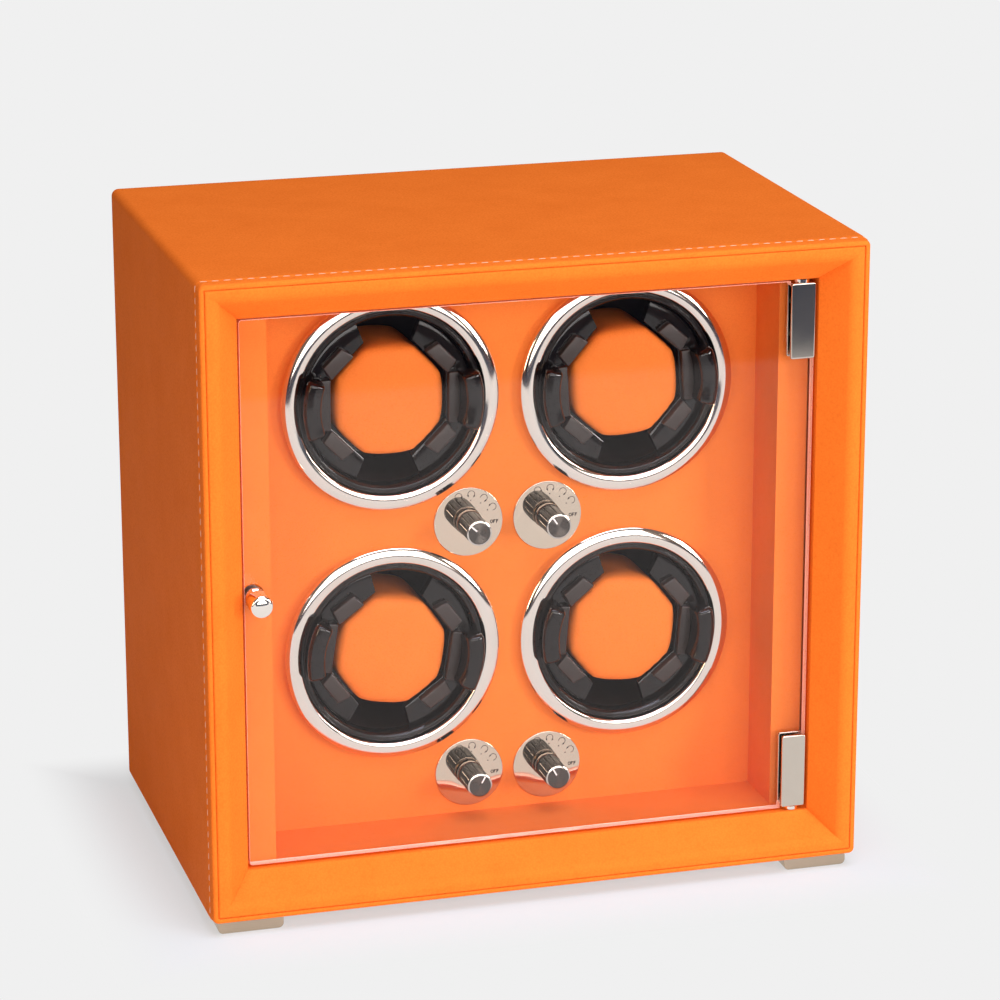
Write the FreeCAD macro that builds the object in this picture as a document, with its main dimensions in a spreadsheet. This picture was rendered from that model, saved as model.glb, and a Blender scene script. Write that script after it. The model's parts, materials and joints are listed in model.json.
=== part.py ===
import FreeCAD, Part
import math
import os
from types import SimpleNamespace

import Sketcher
from FreeCAD import Placement, Rotation, Vector

# Watch winder box for four watches: a wrapped case with a mitred bevelled frame, a clear
# pivoting door, and four ringed drums with one selector knob under each.
# The origin is the middle of the footprint at floor level, +X right, +Y back and +Z up.

DOC = FreeCAD.newDocument("WatchWinderBox")
SHEET = DOC.addObject("Spreadsheet::Sheet", "Sizes")
SUBPARTS = []

# Driving dimensions, in millimetres and degrees
DRIVING = [
    ("case_width", 310.6, "case, outside width"),
    ("case_depth", 200, "case, outside depth"),
    ("case_height", 298.6, "case, height without the feet"),
    ("foot_height", 6, "feet, height under the case"),
    ("wall", 12, "case shell, wall"),
    ("lip", 3.2, "case shell, rim left round the front frame and the back panel"),
    ("corner_round", 5, "case shell, long corners"),
    ("rim_round", 1.5, "case shell, front and back rims"),
    ("rail_depth", 24, "front frame, front to back"),
    ("rail_reach", 20.1, "front frame, case side to the opening"),
    ("rail_edge", 1, "front frame, outer edge round"),
    ("rail_flat", 2.6, "front frame, flat beside the seam, measured from the seam"),
    ("rail_bend", 6, "front frame, bend between the flat and the bevel"),
    ("bevel_angle", 50, "front frame, bevel against the front"),
    ("pane_gap", 1.2, "door pane, gap to the frame all round"),
    ("pane_setback", 15.6, "door pane, behind the front rim"),
    ("pane_thick", 4, "door pane"),
    ("pane_corner", 1.5, "door pane, corner round"),
    ("hinge_column", 128.2, "door pivot, distance from the middle"),
    ("clamp_width", 11.7, "hinge clamp"),
    ("clamp_height", 35.7, "hinge clamp"),
    ("clamp_plate", 1.6, "hinge clamp, plates and web"),
    ("clamp_gap", 1.9, "hinge clamp to the rail"),
    ("clamp_round", 1, "hinge clamp, upright edges"),
    ("pivot_radius", 1.5, "hinge pin"),
    ("pivot_play", 0.06, "hinge pin in its bush"),
    ("pivot_reach", 6, "hinge pin inside the rail"),
    ("shoulder_radius", 3.7, "hinge pin, shoulder"),
    ("shoulder_thick", 1.5, "hinge pin, shoulder"),
    ("bush_radius", 2.6, "hinge bush, outside"),
    ("bush_length", 7, "hinge bush"),
    ("bush_clear", 0.2, "hinge bush, room under it in the rail"),
    ("set_screw_radius", 1.8, "hinge clamp set screw"),
    ("set_screw_inset", 10, "hinge clamp set screws, from the clamp's ends"),
    ("set_screw_shift", 2, "hinge clamp set screws, in from the pivot's line"),
    ("notch_clear", 0.1, "door pane, notch to the hinge clamp"),
    ("set_screw_proud", 0.6, "hinge clamp set screw, stands behind the clamp"),
    ("pull_inset", 5, "door knob, centre to the edge of the pane"),
    ("pull_radius", 5.25, "door knob"),
    ("pull_length", 15, "door knob"),
    ("pull_neck", 1.5, "door knob, neck, in from its side"),
    ("pull_base", 1.4, "door knob, base ring"),
    ("pull_base_inset", 0.5, "door knob, base ring, in from its side"),
    ("pull_chamfer", 1.2, "door knob, edge of its end"),
    ("pull_dome", 0.6, "door knob, crown of its end"),
    ("pull_bore", 9, "door knob, screw hole"),
    ("pull_screw_radius", 1.5, "door knob screw"),
    ("pull_screw_head", 3.2, "door knob screw, head radius"),
    ("pull_screw_thick", 1.3, "door knob screw, head"),
    ("pull_screw_edge", 0.6, "door knob screw, edge of its head"),
    ("compartment_half", 120.5, "display space, half of its width"),
    ("left_stop", 20.6, "left jamb, behind the front rim"),
    ("right_stop", 25.2, "right jamb, behind the front rim"),
    ("jamb_clear", 0.2, "jambs to the frame's opening"),
    ("magnet_radius", 4, "door catch magnet"),
    ("magnet_length", 4, "door catch magnet"),
    ("magnet_recess", 2, "left jamb, recess in front of the magnet"),
    ("magnet_margin", 1, "left jamb, recess round the magnet"),
    ("panel_setback", 56, "winder panel, behind the front rim"),
    ("panel_thick", 9, "winder panel"),
    ("ring_column", 56.3, "drums, distance from the middle"),
    ("ring_row_low", 103.8, "lower drums, above the case's underside"),
    ("ring_row_high", 224.5, "upper drums, above the case's underside"),
    ("plate_column", 19.05, "dial plates, distance from the middle"),
    ("plate_row_low", 39.9, "lower dial plates, above the case's underside"),
    ("plate_row_high", 163.5, "upper dial plates, above the case's underside"),
    ("plate_radius", 16.5, "dial plate"),
    ("plate_thick", 0.8, "dial plate"),
    ("plate_chamfer", 0.3, "dial plate, edge"),
    ("plate_bore", 3.6, "dial plate and panel, hole for the knob stem"),
    ("bezel_outer", 51, "bezel ring, outer radius"),
    ("bezel_inner", 44, "bezel ring, inner radius"),
    ("bezel_crest", 47.6, "bezel ring, radius of the crest"),
    ("bezel_height", 6, "bezel ring, in front of the panel"),
    ("bezel_foot", 1.2, "bezel ring, straight outer edge"),
    ("bezel_lip", 4, "bezel ring, inner edge in front of the panel"),
    ("bezel_throat", 2, "bezel ring, back of the inner edge in front of the panel"),
    ("bezel_outer_arc", 4.6, "bezel ring, arc outside the crest"),
    ("bezel_inner_arc", 3.6, "bezel ring, arc inside the crest"),
    ("spigot_outer", 47.3, "bezel ring, tube inside the panel"),
    ("spigot_inner", 46.2, "bezel ring, tube inside the panel"),
    ("spigot_length", 6, "bezel ring, tube inside the panel"),
    ("drum_rim", 43.5, "drum, outer radius of the rim"),
    ("drum_shell", 42.2, "drum, outer radius of the cup"),
    ("drum_bore", 40, "drum, inner radius of the cup"),
    ("drum_front", 3.2, "drum, rim in front of the panel"),
    ("drum_step", 0.6, "drum, step between the two rings of the rim"),
    ("drum_chamfer", 1.2, "drum, mouth of the bore"),
    ("drum_rim_back", 3, "drum, back of the rim behind the panel"),
    ("drum_corner", 4, "drum, slope between the cup and its floor"),
    ("drum_floor", 48, "drum, floor of the cup behind the panel"),
    ("drum_floor_thick", 3, "drum, floor of the cup"),
    ("hub_radius", 9, "drum, hub"),
    ("hub_length", 9, "drum, hub"),
    ("shaft_radius", 3, "drum shaft"),
    ("shaft_play", 0.08, "drum shaft in its gearmotor"),
    ("window_half", 27.3, "watch holder, half across the octagonal window"),
    ("holder_radius", 39.4, "watch holder, outside"),
    ("holder_wall", 2.5, "watch holder, cheeks"),
    ("holder_plate_front", 1, "watch holder, side plates behind the panel"),
    ("holder_plate_back", 6, "watch holder, side plates behind the panel"),
    ("bridge_thick", 4, "watch holder, bridge on the floor of the drum"),
    ("bridge_half", 13, "watch holder, bridge, half of its height"),
    ("bridge_lap", 6, "watch holder, bridge, reach behind each cheek"),
    ("lug_inset", 0.3, "watch holder, corner lugs back from the window"),
    ("lug_width", 7, "watch holder, corner lugs"),
    ("lug_shift", 3.6, "watch holder, corner lugs, middle moved along the window towards the grips"),
    ("lug_half_long", 7.6, "watch holder, corner lugs, half length beside the window"),
    ("lug_half_short", 6.2, "watch holder, corner lugs, half length on the outside"),
    ("lug_height", 5.2, "watch holder, corner lugs, front to back"),
    ("holder_span", 66, "watch holder, side plates reach this far up and down, degrees"),
    ("grip_root", 5.2, "watch holder, finger grips out from the window"),
    ("grip_thick", 5, "watch holder, finger grips at the root"),
    ("grip_tip_round", 2.7, "watch holder, finger grips, rounds of the tip"),
    ("grip_lean", 1.6, "watch holder, finger grips, outward lean of the inner face"),
    ("grip_reach", 41.7, "watch holder, finger grip outer radius"),
    ("grip_front", 12, "watch holder, finger grips in front of the panel"),
    ("grip_span", 43.6, "watch holder, finger grip sweep, degrees"),
    ("cushion_end", 0.84, "cushion, share of its width left flat at each end"),
    ("cushion_half", 26.3, "cushion, half across"),
    ("cushion_front", 1.2, "cushion, crown in front of the panel"),
    ("cushion_back", 43.6, "cushion, back face behind the panel"),
    ("knob_radius", 5.9, "selector knob"),
    ("knob_skirt", 6.2, "selector knob, plain ring at the base"),
    ("knob_front", 19.8, "selector knob, in front of the panel"),
    ("knob_lift", 0.8, "selector knob, above the dial plate"),
    ("knob_skirt_tall", 2, "selector knob, plain ring at the base, height"),
    ("knob_chamfer", 0.7, "selector knob, edge of the face"),
    ("flute_radius", 0.55, "selector knob, flutes"),
    ("flute_offset", 0.1, "selector knob, flute centres outside its side"),
    ("flute_stop", 1.6, "selector knob, flutes end behind the face"),
    ("pointer_half", 0.45, "selector knob, pointer slot, half width"),
    ("pointer_start", 0.6, "selector knob, pointer slot, from the middle"),
    ("pointer_depth", 0.4, "selector knob, pointer slot"),
    ("knob_flutes", 12, "selector knob, flutes round the side"),
    ("stem_radius", 3, "selector knob, stem"),
    ("stem_play", 0.08, "selector knob, stem in its switch"),
    ("switch_radius", 8.5, "selector switch, can"),
    ("switch_length", 11, "selector switch, can behind the panel"),
    ("switch_nut_half", 5, "selector switch nut, half across the flats"),
    ("nut_thick", 2.2, "selector switch nut"),
    ("nut_recess", 7, "winder panel, recess round the switch nut"),
    ("nut_setback", 0.3, "selector switch nut, behind the panel's face"),
    ("nut_clear", 0.4, "winder panel, recess deeper than the nut"),
    ("motor_board_setback", 122, "motor board, behind the front rim"),
    ("motor_board_thick", 6, "motor board"),
    ("gearbox_radius", 17, "gearmotor, gearbox"),
    ("gearbox_length", 12, "gearmotor, gearbox"),
    ("motor_radius", 12, "gearmotor, motor can"),
    ("motor_length", 26, "gearmotor, motor can"),
    ("standoff_radius", 4, "motor board standoff"),
    ("standoff_inset", 3, "motor board standoffs, in from the display space's sides"),
    ("standoff_rise", 12, "motor board standoffs, in from the floor and ceiling"),
    ("motor_board_lap", 8, "motor board, past the display space's sides"),
    ("motor_board_hole", 5, "motor board, holes round the drum shafts"),
    ("shaft_seat", 8, "drum shaft, reach inside its gearmotor"),
    ("board_half_long", 38, "control board, half length"),
    ("board_half_tall", 26, "control board, half height"),
    ("board_spacer", 6, "control board, spacers"),
    ("board_spacer_radius", 3, "control board, spacers"),
    ("board_thick", 1.6, "control board"),
    ("socket_half", 5, "control board, cable sockets, half length"),
    ("socket_tall", 8, "control board, cable sockets, height"),
    ("socket_deep", 7, "control board, cable sockets, front to back"),
    ("socket_pitch", 16, "control board, cable sockets, spacing"),
    ("capacitor_radius", 4, "control board, capacitors"),
    ("capacitor_long", 11, "control board, capacitors"),
    ("chip_half", 8, "control board, driver chip, half across"),
    ("chip_thick", 2.5, "control board, driver chip"),
    ("back_thick", 5, "back panel"),
    ("back_fit", 0.1, "back panel in its rebate"),
    ("screw_radius", 1.6, "back panel screw"),
    ("screw_head", 3, "back panel screw, head radius"),
    ("screw_head_thick", 1.6, "back panel screw, head"),
    ("screw_length", 11, "back panel screw"),
    ("jack_column", 92, "power jack, distance from the middle"),
    ("jack_row", 41.3, "power jack, above the case's underside"),
    ("jack_flange", 5.5, "power jack, flange radius"),
    ("jack_barrel", 4, "power jack, barrel radius"),
    ("jack_socket", 2.8, "power jack, socket radius"),
    ("jack_pin", 1, "power jack, centre pin radius"),
    ("jack_length", 14, "power jack"),
    ("jack_flange_thick", 2, "power jack, flange"),
    ("jack_depth", 10, "power jack, socket"),
    ("foot_width", 30.5, "foot, side to side"),
    ("foot_depth", 16, "foot, front to back"),
    ("foot_side", 3.7, "foot, from the case's sides"),
    ("foot_inset", 4.5, "foot, from the case's rims"),
    ("foot_round", 2.4, "foot, lower corners"),
    ("knob_turn_1", -47, "upper left knob as shown, degrees clockwise from up"),
    ("knob_turn_2", -34, "upper right knob as shown, degrees clockwise from up"),
    ("knob_turn_3", 30, "lower left knob as shown, degrees clockwise from up"),
    ("knob_turn_4", -29, "lower right knob as shown, degrees clockwise from up"),
    ("drum_turn_1", 0.5, "upper left drum as shown, degrees clockwise"),
    ("drum_turn_2", -3.6, "upper right drum as shown, degrees clockwise"),
    ("drum_turn_3", 9, "lower left drum as shown, degrees clockwise"),
    ("drum_turn_4", 5.3, "lower right drum as shown, degrees clockwise"),
]


class Dim:
    """A size that carries its number and the formula that ties it to the sheet."""

    def __init__(self, number, formula):
        self.number = number
        self.formula = formula

    @staticmethod
    def of(other):
        """Take a size as it is, or make one from a plain number."""
        return other if isinstance(other, Dim) else Dim(float(other), f"({float(other)})")

    def __add__(self, other):
        other = Dim.of(other)
        return Dim(self.number + other.number, f"({self.formula} + {other.formula})")

    def __sub__(self, other):
        other = Dim.of(other)
        return Dim(self.number - other.number, f"({self.formula} - {other.formula})")

    def __mul__(self, other):
        other = Dim.of(other)
        return Dim(self.number * other.number, f"({self.formula} * {other.formula})")

    def __truediv__(self, other):
        other = Dim.of(other)
        return Dim(self.number / other.number, f"({self.formula} / {other.formula})")

    def __neg__(self):
        return Dim(-self.number, f"(-1 * {self.formula})")

    def __radd__(self, other):
        return Dim.of(other) + self

    def __rsub__(self, other):
        return Dim.of(other) - self

    def __rmul__(self, other):
        return Dim.of(other) * self


def ratio(name, angle):
    """The sine, cosine or tangent of an angle in degrees."""
    number = getattr(math, name)(math.radians(angle.number))
    return Dim(number, f"{name}({angle.formula} * 1 deg)")


def root(area):
    """The square root of a size."""
    return Dim(math.sqrt(area.number), f"sqrt({area.formula})")


def fill_sheet():
    """Write the driving dimensions into the sheet and hand them back by name."""
    sizes = {}
    for row, (alias, number, meaning) in enumerate(DRIVING, start=1):
        SHEET.set(f"A{row}", meaning)
        SHEET.set(f"B{row}", str(number))
        SHEET.setAlias(f"B{row}", alias)
        sizes[alias] = Dim(float(number), f"Sizes.{alias}")
    DOC.recompute()
    return SimpleNamespace(**sizes)


s = fill_sheet()

# Places worked out from the driving dimensions
half_width = s.case_width / 2
front = -s.case_depth / 2
base = s.foot_height
top = base + s.case_height
middle = base + s.case_height / 2
rail_width = s.rail_reach - s.lip
opening_half = half_width - s.rail_reach
floor_level = base + s.rail_reach
ceiling_level = top - s.rail_reach
inner_half = half_width - s.wall
panel_face = front + s.panel_setback
pane_half = opening_half - s.pane_gap
pane_low = floor_level + s.pane_gap
pane_high = ceiling_level - s.pane_gap
pane_front = front + s.pane_setback
pane_back = pane_front + s.pane_thick
pivot_depth = s.pane_setback + s.pane_thick / 2
clamp_low = floor_level + s.clamp_gap
clamp_high = ceiling_level - s.clamp_gap
pull_column = -pane_half + s.pull_inset

# The four winders, left to right and top to bottom
DRUM_CENTRES = [
    (-s.ring_column, base + s.ring_row_high),
    (s.ring_column, base + s.ring_row_high),
    (-s.ring_column, base + s.ring_row_low),
    (s.ring_column, base + s.ring_row_low),
]
PLATE_CENTRES = [
    (-s.plate_column, base + s.plate_row_high),
    (s.plate_column, base + s.plate_row_high),
    (-s.plate_column, base + s.plate_row_low),
    (s.plate_column, base + s.plate_row_low),
]
# An octagon's half side against its half width, and the slices of a cushion
EIGHTH = math.tan(math.pi / 8)
CUSHION_STEPS = 10
DRUM_TURNS = [s.drum_turn_1, s.drum_turn_2, s.drum_turn_3, s.drum_turn_4]
KNOB_TURNS = [s.knob_turn_1, s.knob_turn_2, s.knob_turn_3, s.knob_turn_4]


def bind(item, name, size):
    """Tie a property to the sheet."""
    item.setExpression(name, Dim.of(size).formula)


def new_body(label):
    """Start a sub-part, whose label names its file."""
    body = DOC.addObject("PartDesign::Body", label)
    body.Label = label
    SUBPARTS.append(body)
    return body


def place(body, x, y, z, turn=None):
    """Set a sub-part down, turned clockwise as seen from the front."""
    if turn is not None:
        body.Placement = Placement(Vector(), Rotation(Vector(0, 1, 0), turn.number))
    bind(body, "Placement.Base.x", x)
    bind(body, "Placement.Base.y", y)
    bind(body, "Placement.Base.z", z)


def new_sketch(body, role, lift=None):
    """Start a sketch on one of the body's own planes, lifted along its normal."""
    sketch = body.newObject("Sketcher::SketchObject", body.Label + "_sketch")
    plane = next(item for item in body.Origin.OriginFeatures if item.Role == role)
    sketch.AttachmentSupport = (plane, [""])
    sketch.MapMode = "FlatFace"
    if lift is not None:
        bind(sketch, "AttachmentOffset.Base.z", lift)
    return sketch


def front_sketch(body, setback):
    """Start a sketch that faces the front, at a depth behind the front rim."""
    return new_sketch(body, "XZ_Plane", s.case_depth / 2 - setback)


def fix_size(sketch, constraint, size):
    """Add a sized constraint and tie it to the sheet."""
    index = sketch.addConstraint(constraint)
    sketch.setExpression(f"Constraints[{index}]", size.formula)


def fix_point(sketch, edge, end, point):
    """Hold one end of an edge at a place."""
    for axis, kind, place_along in ((-2, "DistanceX", point[0]), (-1, "DistanceY", point[1])):
        size = Dim.of(place_along)
        if size.number == 0:
            sketch.addConstraint(Sketcher.Constraint("PointOnObject", edge, end, axis))
        else:
            fix_size(sketch, Sketcher.Constraint(kind, edge, end, size.number), size)


def flat_point(point):
    """The numbers of a sketch point, as a vector."""
    return Vector(Dim.of(point[0]).number, Dim.of(point[1]).number, 0)


def add_arc(sketch, start, finish, radius):
    """Add an arc of under a half circle; a positive radius turns anticlockwise."""
    chord = finish - start
    size = abs(radius.number)
    left = Vector(-chord.y, chord.x, 0).normalize()
    rise = math.sqrt(max(size ** 2 - (chord.Length / 2) ** 2, 0))
    anticlockwise = radius.number > 0
    centre = start + chord * 0.5 + left * (rise if anticlockwise else -rise)
    ends = (start, finish) if anticlockwise else (finish, start)
    angles = [math.atan2(end.y - centre.y, end.x - centre.x) for end in ends]
    circle = Part.Circle(centre, Vector(0, 0, 1), size)
    edge = sketch.addGeometry(Part.ArcOfCircle(circle, angles[0], angles[1]))
    fix_size(sketch, Sketcher.Constraint("Radius", edge, size), radius if anticlockwise else -radius)
    return (edge, 1, 2) if anticlockwise else (edge, 2, 1)


def outline(sketch, points):
    """Draw a closed outline; a point (x, y, radius) is reached by an arc instead of a line."""
    edges = []
    for index, finish in enumerate(points):
        start = flat_point(points[index - 1])
        if len(finish) == 3:
            edges.append(add_arc(sketch, start, flat_point(finish), Dim.of(finish[2])))
        else:
            line = sketch.addGeometry(Part.LineSegment(start, flat_point(finish)))
            edges.append((line, 1, 2))
    for index, (edge, start, finish) in enumerate(edges):
        following = edges[(index + 1) % len(edges)]
        fix_point(sketch, edge, finish, points[index])
        sketch.addConstraint(
            Sketcher.Constraint("Coincident", edge, finish, following[0], following[1])
        )


def box_outline(sketch, left, right, low, high, radius=None):
    """Draw an upright rectangle, with round corners if a radius is given."""
    if radius is None:
        outline(sketch, [(left, low), (right, low), (right, high), (left, high)])
        return
    outline(sketch, [
        (left + radius, low), (right - radius, low),
        (right, low + radius, radius), (right, high - radius),
        (right - radius, high, radius), (left + radius, high),
        (left, high - radius, radius), (left, low + radius),
        (left + radius, low, radius),
    ][1:])


def circles(sketch, centres, radius):
    """Draw a circle of one radius at each centre."""
    for centre in centres:
        circle = Part.Circle(flat_point(centre), Vector(0, 0, 1), Dim.of(radius).number)
        edge = sketch.addGeometry(circle)
        fix_point(sketch, edge, 3, centre)
        fix_size(sketch, Sketcher.Constraint("Radius", edge, Dim.of(radius).number), Dim.of(radius))


def pad(body, sketch, length, backwards=False, both_ways=False):
    """Raise a sketch along its normal."""
    feature = body.newObject("PartDesign::Pad", body.Label + "_pad")
    feature.Profile = sketch
    bind(feature, "Length", length)
    feature.Reversed = backwards
    if both_ways:
        feature.SideType = "Symmetric"
    return feature


def pocket(body, sketch, length=None):
    """Cut a sketch against its normal, to a depth or right through."""
    feature = body.newObject("PartDesign::Pocket", body.Label + "_pocket")
    feature.Profile = sketch
    if length is None:
        feature.Type = "ThroughAll"
    else:
        bind(feature, "Length", length)
    return feature


def slab(body, setback, thick, draw):
    """Raise what draw puts on a front-facing sketch, from a depth towards the back."""
    sketch = front_sketch(body, setback)
    draw(sketch)
    return pad(body, sketch, thick, backwards=True)


def cut(body, setback, depth, draw):
    """Cut what draw puts on a front-facing sketch, from a depth towards the back."""
    sketch = front_sketch(body, setback)
    draw(sketch)
    return pocket(body, sketch, depth)


def turned(body, profile, sweep=None):
    """Turn profiles about the front-to-back axis; points are (radius, distance to the front)."""
    sketch = new_sketch(body, "XY_Plane")
    for points in profile:
        outline(sketch, [
            (point[0], -Dim.of(point[1]), *[-Dim.of(arc) for arc in point[2:]]) for point in points
        ])
    feature = body.newObject("PartDesign::Revolution", body.Label + "_turning")
    feature.Profile = sketch
    feature.ReferenceAxis = (sketch, ["V_Axis"])
    if sweep is None:
        feature.Angle = 360
    else:
        bind(feature, "Angle", sweep)
        feature.Midplane = True
    return feature


def round_edges(body, feature, radius, chosen):
    """Round the edges of a feature whose ends all pass the test."""
    DOC.recompute()
    names = [
        f"Edge{number}"
        for number, edge in enumerate(feature.Shape.Edges, start=1)
        if all(chosen(vertex.Point) for vertex in edge.Vertexes)
    ]
    fillet = body.newObject("PartDesign::Fillet", body.Label + "_fillet")
    fillet.Base = (feature, names)
    bind(fillet, "Radius", radius)
    return fillet


def near(number, size):
    """True where a measured number is at a size."""
    return abs(number - size.number) < 0.001


def back_screw_centres():
    """Corners and mid-sides of the rebate's shoulder, where the back panel is screwed down."""
    column = half_width - (s.lip + s.wall) / 2
    low = base + (s.lip + s.wall) / 2
    high = top - (s.lip + s.wall) / 2
    corners = [(side * column, row) for side in (-1, 1) for row in (low, middle, high)]
    return corners + [(0, low), (0, high)]


def standoff_centres():
    """Six places beside the drums."""
    column = s.compartment_half - s.standoff_inset
    corners = [
        (side * column, row)
        for side in (-1, 1)
        for row in (floor_level + s.standoff_rise, ceiling_level - s.standoff_rise)
    ]
    return corners + [(0, base + s.ring_row_low), (0, base + s.ring_row_high)]


def make_case_shell():
    body = new_body("case_shell")
    solid = slab(body, 0, s.case_depth, lambda sketch: box_outline(
        sketch, -half_width, half_width, base, top, s.corner_round))
    round_edges(body, solid, s.rim_round, lambda p: near(abs(p.y), s.case_depth / 2))
    cut(body, 0, None, lambda sketch: box_outline(
        sketch, -inner_half, inner_half, base + s.wall, top - s.wall))
    cut(body, 0, s.rail_depth, lambda sketch: box_outline(
        sketch, -half_width + s.lip, half_width - s.lip, base + s.lip, top - s.lip))
    cut(body, s.case_depth - s.back_thick, s.back_thick, lambda sketch: box_outline(
        sketch, -half_width + s.lip, half_width - s.lip, base + s.lip, top - s.lip))
    shoulder = s.case_depth - s.back_thick
    bite = s.screw_length - s.back_thick
    cut(body, shoulder - bite, bite, lambda sketch: circles(
        sketch, back_screw_centres(), s.screw_radius))


def make_rail(label, seam, hinge=None):
    """One mitred length of the frame: x along it, y back from the front rim, z into the opening."""
    body = new_body(label)
    bend_depth = s.rail_bend * (1 - ratio("cos", s.bevel_angle))
    bend_reach = s.rail_flat + s.rail_bend * ratio("sin", s.bevel_angle)
    bevel_depth = bend_depth + (rail_width - bend_reach) * ratio("tan", s.bevel_angle)
    profile = new_sketch(body, "YZ_Plane")
    outline(profile, [
        (s.rail_depth, 0),
        (s.rail_edge, 0),
        (0, s.rail_edge, -s.rail_edge),
        (0, s.rail_flat),
        (bend_depth, bend_reach, -s.rail_bend),
        (bevel_depth, rail_width),
        (s.rail_depth, rail_width),
    ])
    pad(body, profile, seam, both_ways=True)
    over = 1
    mitre = new_sketch(body, "XZ_Plane", over)
    for side in (-1, 1):
        outline(mitre, [
            (side * (seam / 2 + over), -over),
            (side * (seam / 2 + over), rail_width + over),
            (side * (seam / 2 - rail_width - over), rail_width + over),
        ])
    pocket(body, mitre)
    if hinge is not None:
        socket = new_sketch(body, "XY_Plane", rail_width)
        circles(socket, [(hinge, pivot_depth)], s.bush_radius)
        pocket(body, socket, s.bush_length + s.bush_clear)
    return body


def make_front_frame():
    across = s.case_width - 2 * s.lip
    upright = s.case_height - 2 * s.lip
    rails = [
        ("frame_bottom_rail", across, s.hinge_column, 0, 0, base + s.lip),
        ("frame_top_rail", across, -s.hinge_column, 180, 0, top - s.lip),
        ("frame_left_stile", upright, None, 90, -half_width + s.lip, middle),
        ("frame_right_stile", upright, None, -90, half_width - s.lip, middle),
    ]
    for label, seam, hinge, turn, x, z in rails:
        place(make_rail(label, seam, hinge), x, front, z, Dim.of(turn))


def make_jamb(label, side, setback):
    body = new_body(label)
    outer = opening_half - s.jamb_clear
    slab(body, setback, s.panel_setback - setback, lambda sketch: outline(sketch, [
        (side * s.compartment_half, floor_level),
        (side * outer, floor_level),
        (side * outer, ceiling_level),
        (side * s.compartment_half, ceiling_level),
    ]))
    return body


def make_display_space():
    left = make_jamb("left_jamb", -1, s.left_stop)
    catch = [(pull_column, middle)]
    seat = s.left_stop + s.magnet_recess
    cut(left, s.left_stop, s.magnet_recess, lambda sketch: circles(
        sketch, catch, s.magnet_radius + s.magnet_margin))
    cut(left, seat, s.magnet_length, lambda sketch: circles(sketch, catch, s.magnet_radius))
    magnet = new_body("catch_magnet")
    slab(magnet, seat, s.magnet_length, lambda sketch: circles(sketch, catch, s.magnet_radius))
    make_jamb("right_jamb", 1, s.right_stop)
    levels = [
        ("floor_board", base + s.wall, floor_level),
        ("ceiling_board", ceiling_level, top - s.wall),
    ]
    for label, low, high in levels:
        slab(new_body(label), s.rail_depth, s.panel_setback - s.rail_depth,
             lambda sketch: box_outline(sketch, -inner_half, inner_half, low, high))


def make_winder_panel():
    body = new_body("winder_panel")
    slab(body, s.panel_setback, s.panel_thick, lambda sketch: box_outline(
        sketch, -inner_half, inner_half, base + s.wall, top - s.wall))
    cut(body, s.panel_setback, None, lambda sketch: circles(
        sketch, DRUM_CENTRES, s.spigot_outer + s.back_fit))
    cut(body, s.panel_setback, s.nut_thick + s.nut_clear, lambda sketch: circles(
        sketch, PLATE_CENTRES, s.nut_recess))
    cut(body, s.panel_setback, None, lambda sketch: circles(sketch, PLATE_CENTRES, s.plate_bore))


def make_bezel_ring(number, centre):
    body = new_body(f"bezel_ring_{number}")
    turned(body, [[
        (s.spigot_inner, -s.spigot_length),
        (s.spigot_outer, -s.spigot_length),
        (s.spigot_outer, 0),
        (s.bezel_outer, 0),
        (s.bezel_outer, s.bezel_foot),
        (s.bezel_crest, s.bezel_height, s.bezel_outer_arc),
        (s.bezel_inner, s.bezel_lip, s.bezel_inner_arc),
        (s.bezel_inner, s.bezel_throat),
        (s.spigot_inner, s.bezel_throat + s.bezel_inner - s.spigot_inner),
    ]])
    place(body, centre[0], panel_face, centre[1])


def make_drum(number, centre, turn):
    """A cup with a stepped rim, a sloped edge to its floor and a hub."""
    body = new_body(f"drum_{number}")
    outer_floor = -s.drum_floor - s.drum_floor_thick
    flare = s.drum_rim - s.drum_shell
    turned(body, [[
        (s.shaft_radius, outer_floor - s.hub_length),
        (s.hub_radius, outer_floor - s.hub_length),
        (s.hub_radius, outer_floor),
        (s.drum_shell - s.drum_corner, outer_floor),
        (s.drum_shell, outer_floor + s.drum_corner),
        (s.drum_shell, -s.drum_rim_back - flare),
        (s.drum_rim, -s.drum_rim_back),
        (s.drum_rim, s.drum_front - 2 * s.drum_step),
        (s.drum_rim - s.drum_step, s.drum_front - s.drum_step),
        (s.drum_shell + s.drum_step / 2, s.drum_front - s.drum_step),
        (s.drum_shell, s.drum_front),
        (s.drum_bore + s.drum_chamfer, s.drum_front),
        (s.drum_bore, s.drum_front - s.drum_chamfer),
        (s.drum_bore, -s.drum_floor + s.drum_corner),
        (s.drum_bore - s.drum_corner, -s.drum_floor),
        (s.shaft_radius, -s.drum_floor),
    ]])
    place(body, centre[0], panel_face, centre[1], turn)


def make_drum_shaft(number, centre, turn):
    body = new_body(f"drum_shaft_{number}")
    start = -s.drum_floor - s.drum_floor_thick / 3
    into_gearbox = s.panel_setback - s.motor_board_setback - s.motor_board_thick - s.shaft_seat
    turned(body, [[
        (0, into_gearbox),
        (s.shaft_radius, into_gearbox),
        (s.shaft_radius, start),
        (0, start),
    ]])
    place(body, centre[0], panel_face, centre[1], turn)


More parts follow.
